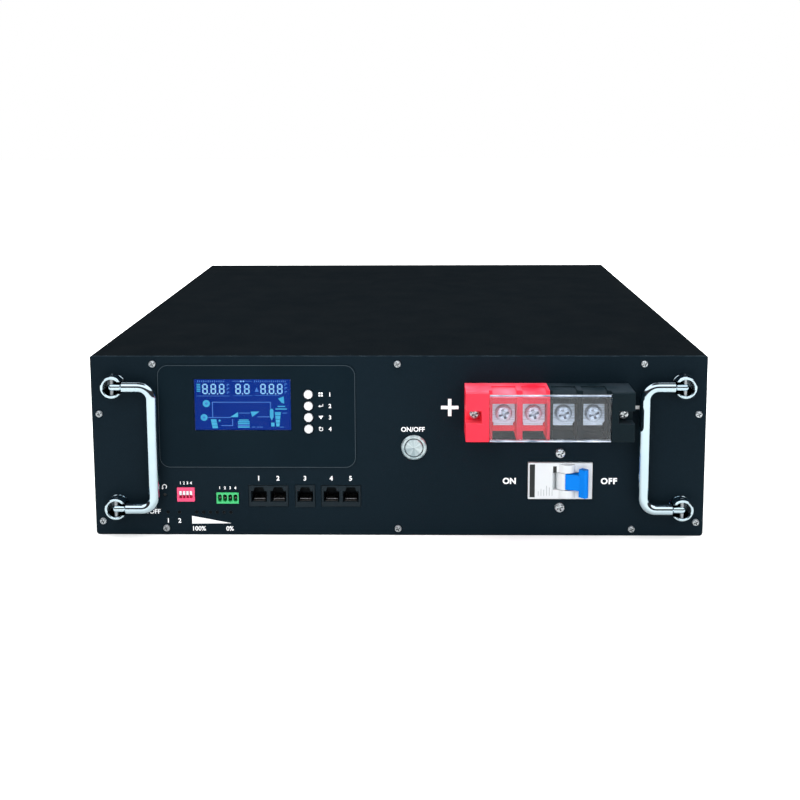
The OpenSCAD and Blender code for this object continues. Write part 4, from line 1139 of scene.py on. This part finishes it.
@dataclass
class DisplayPicture:
    """The display's lit picture. Places are millimetres from the window's middle."""

    margin: float = 0.3
    behind: float = 0.03
    digit_size: Place = (4.0, 7.6)
    digit_stroke: float = 0.95
    digit_gap: float = 0.12
    digit_z: float = 11.7
    digit_ends: tuple[tuple[int, int], ...] = ((0, 1), (1, 2), (2, 5), (5, 4), (4, 3), (3, 0), (3, 2))
    digit_groups: tuple[tuple[float, ...], ...] = ((-26.9, -20.9, -14.8), (-3.0, 3.3), (15.0, 21.1, 27.1))
    point_radius: float = 0.5
    point_rise: float = 0.2
    tick_rows: tuple[tuple[float, float, int], ...] = ((-32.0, -13.2, 15), (9.0, 31.0, 17))
    tick_z: float = 17.3
    tick_width: float = 0.55
    tick_heights: tuple[float, ...] = (1.5, 1.1, 1.1)
    dots: tuple[tuple[Tone, float, float, float], ...] = (
        (Tone.BRIGHT, -0.9, 17.3, 0.6), (Tone.BRIGHT, 1.0, 17.3, 0.6), (Tone.MIDDLE, -16.9, -11.7, 0.75),
    )
    bars: tuple[Bars, ...] = (
        # thin rules under and over the figures
        Bars(Tone.FAINT, (-21.2, 6.5), (23.6, 0.3)),
        Bars(Tone.FAINT, (0.3, 6.7), (13.8, 0.3)),
        Bars(Tone.FAINT, (17.75, 6.9), (17.5, 0.3)),
        Bars(Tone.FAINT, (-0.2, 17.4), (14.0, 0.3)),
        # unit marks beside the figures
        Bars(Tone.FAINT, (-10.2, 15.0), (1.7, 0.7), 3, (0.0, -2.8)),
        Bars(Tone.FAINT, (-10.8, 14.1), (0.6, 0.8), 3, (0.0, -2.8)),
        Bars(Tone.FAINT, (31.4, 15.4), (1.7, 0.7), 3, (0.0, -2.8)),
        Bars(Tone.FAINT, (30.8, 14.5), (0.6, 0.8), 3, (0.0, -2.8)),
        Bars(Tone.MIDDLE, (-31.6, 15.0), (2.6, 0.8), 5, (0.0, -1.25)),
        # battery
        Bars(Tone.MIDDLE, (0.6, -11.3), (7.0, 0.9)),
        Bars(Tone.MIDDLE, (0.6, -12.6), (8.4, 1.0), 2, (0.0, -1.3)),
        Bars(Tone.FAINT, (0.6, -15.2), (8.4, 1.0)),
        Bars(Tone.MIDDLE, (0.6, -16.5), (8.4, 1.0)),
        # marks along the lower edge
        Bars(Tone.FAINT, (7.6, -16.5), (2.6, 0.5)),
        Bars(Tone.FAINT, (10.9, -16.5), (1.7, 0.5)),
        Bars(Tone.FAINT, (13.2, -16.5), (2.4, 0.5)),
        Bars(Tone.FAINT, (28.2, -16.5), (2.8, 0.5)),
        # loads
        Bars(Tone.MIDDLE, (21.6, -14.6), (2.4, 2.8)),
        Bars(Tone.MIDDLE, (28.0, -1.2), (5.4, 0.8)),
        Bars(Tone.MIDDLE, (27.8, -3.1), (8.2, 0.8)),
        Bars(Tone.FAINT, (30.4, -6.1), (3.0, 0.6)),
    )
    symbols: tuple[Symbol, ...] = (
        Symbol(Tone.FAINT, ((9.0, 9.6), (11.8, 9.6), (10.4, 13.0))),
        # the two converters
        Symbol(Tone.MIDDLE, ((-9.2, -9.1), (-3.4, -9.1), (-3.4, -5.4))),
        Symbol(Tone.MIDDLE, ((5.7, -5.0), (6.8, -9.0), (12.0, -5.0))),
        # slanted rows of the panel
        Symbol(Tone.MIDDLE, ((-22.9, -12.8), (-18.9, -12.8), (-19.3, -10.7), (-23.3, -10.7)),
               3, ((0.42, -2.3),)),
        # bulb, tower and horn among the loads
        Symbol(Tone.MIDDLE, ((19.6, -9.0), (20.9, -11.6), (22.2, -9.0), (22.2, -4.0), (21.6, -3.0),
                             (20.2, -3.0), (19.6, -4.0))),
        Symbol(Tone.MIDDLE, ((24.1, -16.0), (26.3, -16.0), (26.6, -13.6), (23.9, -13.6)),
               4, ((-0.24, 2.75), (0.32, 2.75), (0.32, 2.75), (-0.24, 2.75))),
        Symbol(Tone.MIDDLE, ((25.7, 4.6), (28.1, 1.6), (30.1, 0.9), (29.8, 6.2))),
    )
    sources: tuple[Point, ...] = ((-26.2, 0.9, 2.6), (-28.1, -9.4, 2.5))
    source_ring: float = 0.66
    source_stroke: float = 0.68
    source_hub: float = 0.28
    flow: tuple[Outline, ...] = (
        ((-21.8, -9.2), (-21.8, 1.9), (20.2, 1.9), (20.2, -2.6)),
        ((-25.0, -9.4), (-9.2, -9.4)),
        ((-2.4, -6.1), (5.0, -6.1)),
        ((10.8, -8.9), (19.0, -8.9)),
        ((-7.5, -10.9), (-7.5, -15.4), (-15.4, -15.4)),
    )
    flow_stroke: float = 0.55
    x: float = field(init=False, default=0.0)
    z: float = field(init=False, default=0.0)
    sheets: dict[Tone, Print] = field(init=False, default_factory=dict)

    def build(self, panel: Panel, finishes: Finishes) -> None:
        """Light the display.

        Args:
            panel: The panel's plane.
            finishes: The pack's finishes.
        """
        low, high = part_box("display_window")
        self.x, self.z = (low.x + high.x) / 2 / MM, (low.z + high.z) / 2 / MM
        width, height = (high.x - low.x) / MM, (high.z - low.z) / MM
        glass = (panel.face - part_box("display_module")[0].y) / MM
        light = Print("display_backlight", panel, glass + self.behind)
        light.rectangle(self.x, self.z, width - 2 * self.margin, height - 2 * self.margin)
        light.build(finishes.of(Finishes.backlight))
        self.sheets = {tone: Print(tone.value, panel, light.front) for tone in Tone}
        self.figures()
        self.ticks()
        self.flows()
        self.pictograms()
        inks = {Tone.BRIGHT: Finishes.segment, Tone.MIDDLE: Finishes.picture, Tone.FAINT: Finishes.faint_segment}
        for tone, ink in inks.items():
            self.sheets[tone].build(finishes.of(ink))

    def outline(self, tone: Tone, places: Iterable[Place]) -> None:
        """Add a filled outline to the sheet of its tone."""
        self.sheets[tone].shape([(self.x + x, self.z + z) for x, z in places])

    def bar(self, tone: Tone, x: float, z: float, width: float, height: float) -> None:
        """Add a rectangle to the sheet of its tone."""
        self.sheets[tone].rectangle(self.x + x, self.z + z, width, height)

    def disc(self, tone: Tone, x: float, z: float, radius: float) -> None:
        """Add a disc to the sheet of its tone."""
        self.sheets[tone].disc(self.x + x, self.z + z, radius)

    def figures(self) -> None:
        """Draw the three groups of seven-segment figures with their points."""
        point_z = self.digit_z - self.digit_size[1] / 2 + self.point_rise
        for group in self.digit_groups:
            for x in group:
                self.figure(x)
            for left, right in zip(group, group[1:]):
                self.disc(Tone.BRIGHT, (left + right) / 2, point_z, self.point_radius)

    def figure(self, x: float) -> None:
        """Draw one figure with all seven segments lit.

        Args:
            x: The figure's middle.
        """
        w, h = (side / 2 - self.digit_stroke / 2 for side in self.digit_size)
        corners = [(-w, h), (w, h), (w, 0), (-w, 0), (-w, -h), (w, -h)]
        for a, b in self.digit_ends:
            self.segment(x, corners[a], corners[b])

    def segment(self, x: float, start: Place, end: Place) -> None:
        """Draw one segment as a bar with pointed ends.

        Args:
            x: The figure's middle.
            start: One end of the segment, from the figure's middle.
            end: The other end.
        """
        a, b = Vector(start), Vector(end)
        along = (b - a).normalized()
        side = Vector((-along.y, along.x)) * self.digit_stroke / 2
        gap, point = along * self.digit_gap, along * self.digit_stroke / 2
        a, b = a + gap, b - gap
        ring = (a, a + point - side, b - point - side, b, b - point + side, a + point + side)
        self.outline(Tone.BRIGHT, [(x + p.x, self.digit_z + p.y) for p in ring])

    def ticks(self) -> None:
        """Draw the rows of small marks over the figures."""
        for start, end, count in self.tick_rows:
            pitch = (end - start) / (count - 1)
            for i, height in zip(range(count), cycle(self.tick_heights)):
                self.bar(Tone.FAINT, start + i * pitch, self.tick_z, self.tick_width, height)

    def flows(self) -> None:
        """Draw the lines along which power flows."""
        for places in self.flow:
            self.sheets[Tone.FAINT].path([(self.x + x, self.z + z) for x, z in places], self.flow_stroke)

    def pictograms(self) -> None:
        """Draw the plain pictograms: sources, converters, panel, battery, lamp and loads."""
        for x, z, radius in self.sources:
            ring, stroke = radius * self.source_ring, radius * self.source_stroke
            self.sheets[Tone.MIDDLE].arc(self.x + x, self.z + z, ring, stroke, 0, FULL_TURN)
            self.disc(Tone.FAINT, x, z, radius * self.source_hub)
        for tone, x, z, radius in self.dots:
            self.disc(tone, x, z, radius)
        for bars in self.bars:
            for i in range(bars.count):
                x, z = (first + i * step for first, step in zip(bars.middle, bars.step))
                self.bar(bars.tone, x, z, *bars.size)
        for symbol in self.symbols:
            for i in range(symbol.count):
                moved = zip(symbol.corners, cycle(symbol.steps))
                self.outline(symbol.tone, [(x + i * dx, z + i * dz) for (x, z), (dx, dz) in moved])


# ---------------------------------------------------------------- breaker


@dataclass
class BreakerPrint:
    """What is printed on the breaker's nose: a black strip, a status window and fine rules."""

    strip: tuple[float, float, float, float] = (97.0, 41.7, 3.8, 24.6)
    window: tuple[float, float, float, float] = (113.2, 50.2, 2.6, 4.8)
    rule_xs: tuple[float, ...] = (101.4, 103.4, 105.4, 107.4, 109.4, 111.4)
    rule_low: float = 30.6
    rule_width: float = 0.35
    rule_thickness: float = 0.03
    rule_lengths: tuple[float, ...] = (3.4, 5.2, 4.6, 7.4, 6.2, 5.0)

    def build(self, panel: Panel, finishes: Finishes) -> None:
        """Print the nose.

        Args:
            panel: The panel's plane.
            finishes: The pack's finishes.
        """
        nose = self.nose_out(panel)
        dark = Print("breaker_strip", panel, nose)
        dark.rectangle(*self.strip)
        dark.rectangle(*self.window)
        dark.build(finishes.of(Finishes.strip))
        rules = Print("breaker_rules", panel, nose, self.rule_thickness)
        for x, length in zip(self.rule_xs, self.rule_lengths):
            rules.rectangle(x, self.rule_low + length / 2, self.rule_width, length)
        rules.build(finishes.of(Finishes.fine_print))

    def nose_out(self, panel: Panel) -> float:
        """Find how far the nose's flat face stands out, from its left end in the frame.

        Args:
            panel: The panel's plane.

        Returns:
            The distance in millimetres.
        """
        body = bpy.data.objects["breaker_body"]
        left = min(v.co.x for v in body.data.vertices if v.co.y < panel.face - MM)
        near = [v.co.y for v in body.data.vertices if v.co.x < left + MM]
        return (panel.face - min(near)) / MM


# ---------------------------------------------------------------- painted highlights on small edges


@dataclass
class CoverEdges:
    """Painted highlights on the clear cover's hinge edge and lip, where its polished edges catch the light. Places
    are millimetres.
    """

    pin_length: float = 2.9
    below_top: float = 0.6
    hinge_recess: float = 1.3
    hinge_height: float = 1.2
    lip_rise: float = 0.9
    lip_height: float = 1.0

    def build(self, panel: Panel, finishes: Finishes) -> None:
        """Lay a thin pale strip of painted highlight along the hinge and one along the lip, riding on the cover.

        Args:
            panel: The panel's plane.
            finishes: The pack's finishes.
        """
        low, high = (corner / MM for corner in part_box("terminal_cover"))
        middle, width = (low.x + high.x) / 2, high.x - low.x - 2 * self.pin_length
        front = panel.face / MM - low.y
        light = finishes.of(Finishes.edge_light)
        hinge = Print("cover_hinge_highlight", panel, front - self.hinge_recess)
        hinge.rectangle(middle, high.z - self.below_top, width, self.hinge_height)
        hinge.build(light, "terminal_cover")
        lip = Print("cover_lip_highlight", panel, front)
        lip.rectangle(middle, low.z + self.lip_rise, width, self.lip_height)
        lip.build(light, "terminal_cover")


@dataclass
class ContactBends:
    """Painted glints on the bends of the sprung contacts inside the data ports. Sizes are millimetres."""

    z: float = 26.0
    depth: float = 4.2
    pitch: float = 1.02
    count: int = 8
    width: float = 0.8
    height: float = 0.45

    def build(self, panel: Panel, finishes: Finishes) -> None:
        """Lay one small pale plate on each contact, as its painted glint.

        Args:
            panel: The panel's plane.
            finishes: The pack's finishes.
        """
        sheet = Print("contact_glints", panel, -self.depth)
        for x in PORT_XS:
            for i in range(self.count):
                step = (i - (self.count - 1) / 2) * self.pitch
                sheet.rectangle(x + step, self.z, self.width, self.height)
        sheet.build(finishes.of(Finishes.contact_bend))


# ---------------------------------------------------------------- studio


@dataclass(frozen=True)
class Lamp:
    """A square soft lamp. Its place and its side are metres, its power is watts."""

    name: str
    place: Point
    side: float
    power: float

    def hang(self, aim: Point) -> None:
        """Hang the lamp so that it points at a place and gives light without showing in gloss.

        Args:
            aim: The place.
        """
        data = bpy.data.lights.new(self.name, "AREA")
        data.size, data.energy = self.side, self.power
        lamp = bpy.data.objects.new(self.name, data)
        lamp.location = self.place
        lamp.visible_glossy = False
        lamp.rotation_euler = (Vector(aim) - Vector(self.place)).to_track_quat("-Z", "Y").to_euler()
        bpy.context.scene.collection.objects.link(lamp)


@dataclass
class Studio:
    """Floor, world, lamps and camera. Lengths are metres, angles degrees."""

    lamps: tuple[Lamp, ...] = (
        Lamp("key_lamp", (-0.9, -1.9, 1.5), 1.6, 26.0),
        Lamp("fill_lamp", (1.3, -1.7, 1.0), 1.4, 12.0),
        Lamp("top_lamp", (0.1, 0.0, 2.0), 1.8, 56.0),
        Lamp("rear_left_lamp", (-1.9, 1.1, 0.8), 1.4, 46.0),
        Lamp("rear_right_lamp", (1.9, 1.1, 0.8), 1.4, 46.0),
    )
    aim: Point = (0.0, 0.0, 0.07)
    camera_place: Point = (0.0173, -1.0323, 0.3075)
    pitch: float = 7.556
    yaw: float = 1.057
    roll: float = 0.244
    lens: float = 50.94
    sensor: float = 36.0
    shift: float = -0.175
    floor_size: float = 12.0
    floor_gap: float = 0.0002
    floor_colour: Colour = (0.86, 0.86, 0.86, 1.0)
    floor_mirrored: Colour = (0.52, 0.52, 0.5, 1.0)
    floor_in_gloss: float = 0.08
    floor_roughness: float = 0.9
    floor_near: float = 0.3
    floor_far: float = 1.0
    grey_until: float = 0.35
    white_from: float = 0.9
    ambient: float = 0.55
    room_strength: float = 1.4
    bands: tuple[tuple[float, Colour], ...] = (
        (0.0, srgb(64, 60, 62)), (0.06, srgb(44, 40, 44)), (0.48, srgb(60, 52, 50)),
        (0.58, srgb(255, 255, 255)), (0.9, srgb(255, 255, 255)), (0.95, srgb(40, 34, 40)),
        (1.0, srgb(24, 20, 26)),
    )

    def build(self) -> None:
        """Build the whole studio."""
        self.world()
        self.floor()
        for lamp in self.lamps:
            lamp.hang(self.aim)
        self.camera()
        bpy.context.scene.view_settings.view_transform = "Standard"

    def world(self) -> None:
        """Light evenly from all round, show white to the camera, and a banded room to gloss."""
        world = bpy.data.worlds.new("studio_world")
        world.use_nodes = True
        bpy.context.scene.world = world
        writer = NodeWriter(world.node_tree)
        background = world.node_tree.nodes["Background"]
        path = writer.add("ShaderNodeLightPath").outputs
        seen = writer.maths("MAXIMUM", path["Is Camera Ray"], path["Is Transmission Ray"])
        mirrored = writer.maths("MULTIPLY", path["Is Glossy Ray"], self.room_strength)
        strength = writer.maths("MAXIMUM", writer.maths("MAXIMUM", seen, mirrored), self.ambient)
        writer.feed(background.inputs["Strength"], strength)
        writer.feed(background.inputs["Color"], writer.blend(path["Is Glossy Ray"], WHITE, self.room(writer)))

    def room(self, writer: NodeWriter) -> bpy.types.NodeSocket:
        """Draw what polished parts reflect: a dark ceiling, bright panels and a dim far wall.

        Args:
            writer: The world's node writer.

        Returns:
            The colour by direction.
        """
        parts = writer.add("ShaderNodeSeparateXYZ")
        writer.feed(parts.inputs[0], writer.add("ShaderNodeTexCoord").outputs["Generated"])
        ramp = writer.add("ShaderNodeValToRGB")
        writer.feed(ramp.inputs[0], parts.outputs["Z"])
        stops = ramp.color_ramp.elements
        for stop, (position, colour) in zip(stops, (self.bands[0], self.bands[-1])):
            stop.position, stop.color = position, colour
        for position, colour in self.bands[1:-1]:
            stops.new(position).color = colour
        return ramp.outputs[0]

    def floor(self) -> None:
        """Lay a wide white floor that keeps the pack's shadow and is clear from below."""
        size, drop = self.floor_size / 2, -self.floor_gap
        data = bpy.data.meshes.new("floor")
        corners = [(-size, -size, drop), (size, -size, drop), (size, size, drop), (-size, size, drop)]
        data.from_pydata(corners, [], [(0, 1, 2, 3)])
        floor = bpy.data.objects.new("floor", data)
        bpy.context.scene.collection.objects.link(floor)
        sheet = Sheet("floor_white")
        path = sheet.add("ShaderNodeLightPath").outputs
        sheet.set(base_color=sheet.blend(path["Is Glossy Ray"], self.floor_colour, self.floor_mirrored))
        sheet.set(roughness=self.floor_roughness, specular_ior_level=0.0, emission_color=WHITE)
        mirrored = sheet.maths("MULTIPLY", path["Is Glossy Ray"], self.floor_in_gloss)
        seen = sheet.maths("MAXIMUM", path["Is Camera Ray"], mirrored)
        away = sheet.add("ShaderNodeVectorMath", operation="LENGTH")
        sheet.feed(away.inputs[0], sheet.add("ShaderNodeTexCoord").outputs["Object"])
        reach = (self.grey_until, self.white_from, self.floor_near, self.floor_far)
        glow = sheet.stretch(away.outputs["Value"], *reach)
        sheet.set(emission_strength=sheet.maths("MULTIPLY", seen, glow))
        mix = sheet.add("ShaderNodeMixShader")
        sheet.feed(mix.inputs[0], sheet.add("ShaderNodeNewGeometry").outputs["Backfacing"])
        sheet.feed(mix.inputs[1], sheet.shader.outputs[0])
        sheet.feed(mix.inputs[2], sheet.add("ShaderNodeBsdfTransparent").outputs[0])
        sheet.feed(sheet.output.inputs["Surface"], mix.outputs[0])
        data.materials.append(sheet.material)

    def camera(self) -> None:
        """Stand the camera where the photograph was taken from."""
        data = bpy.data.cameras.new("camera")
        data.lens, data.sensor_width = self.lens, self.sensor
        data.shift_y = self.shift
        camera = bpy.data.objects.new("camera", data)
        camera.location = self.camera_place
        camera.rotation_euler = [math.radians(angle) for angle in (90 - self.pitch, self.roll, self.yaw)]
        bpy.context.scene.collection.objects.link(camera)
        bpy.context.scene.camera = camera


# ---------------------------------------------------------------- the pack


def main() -> None:
    """Load the frame, dress it, and build what it lacks."""
    logging.basicConfig(level=logging.INFO, format="%(name)s %(message)s")
    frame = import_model()
    Studio().build()
    finishes = Finishes()
    finishes.dress_frame(frame)
    EdgeRounding().build(frame)
    panel = Panel()
    PanelMarkings().build(panel, finishes)
    FasciaBorder().build(panel, finishes)
    KeyIcons().build(panel, finishes)
    DisplayPicture().build(panel, finishes)
    BreakerPrint().build(panel, finishes)
    CoverEdges().build(panel, finishes)
    ContactBends().build(panel, finishes)
    bpy.context.view_layer.update()


if __name__ == "__main__":
    main()
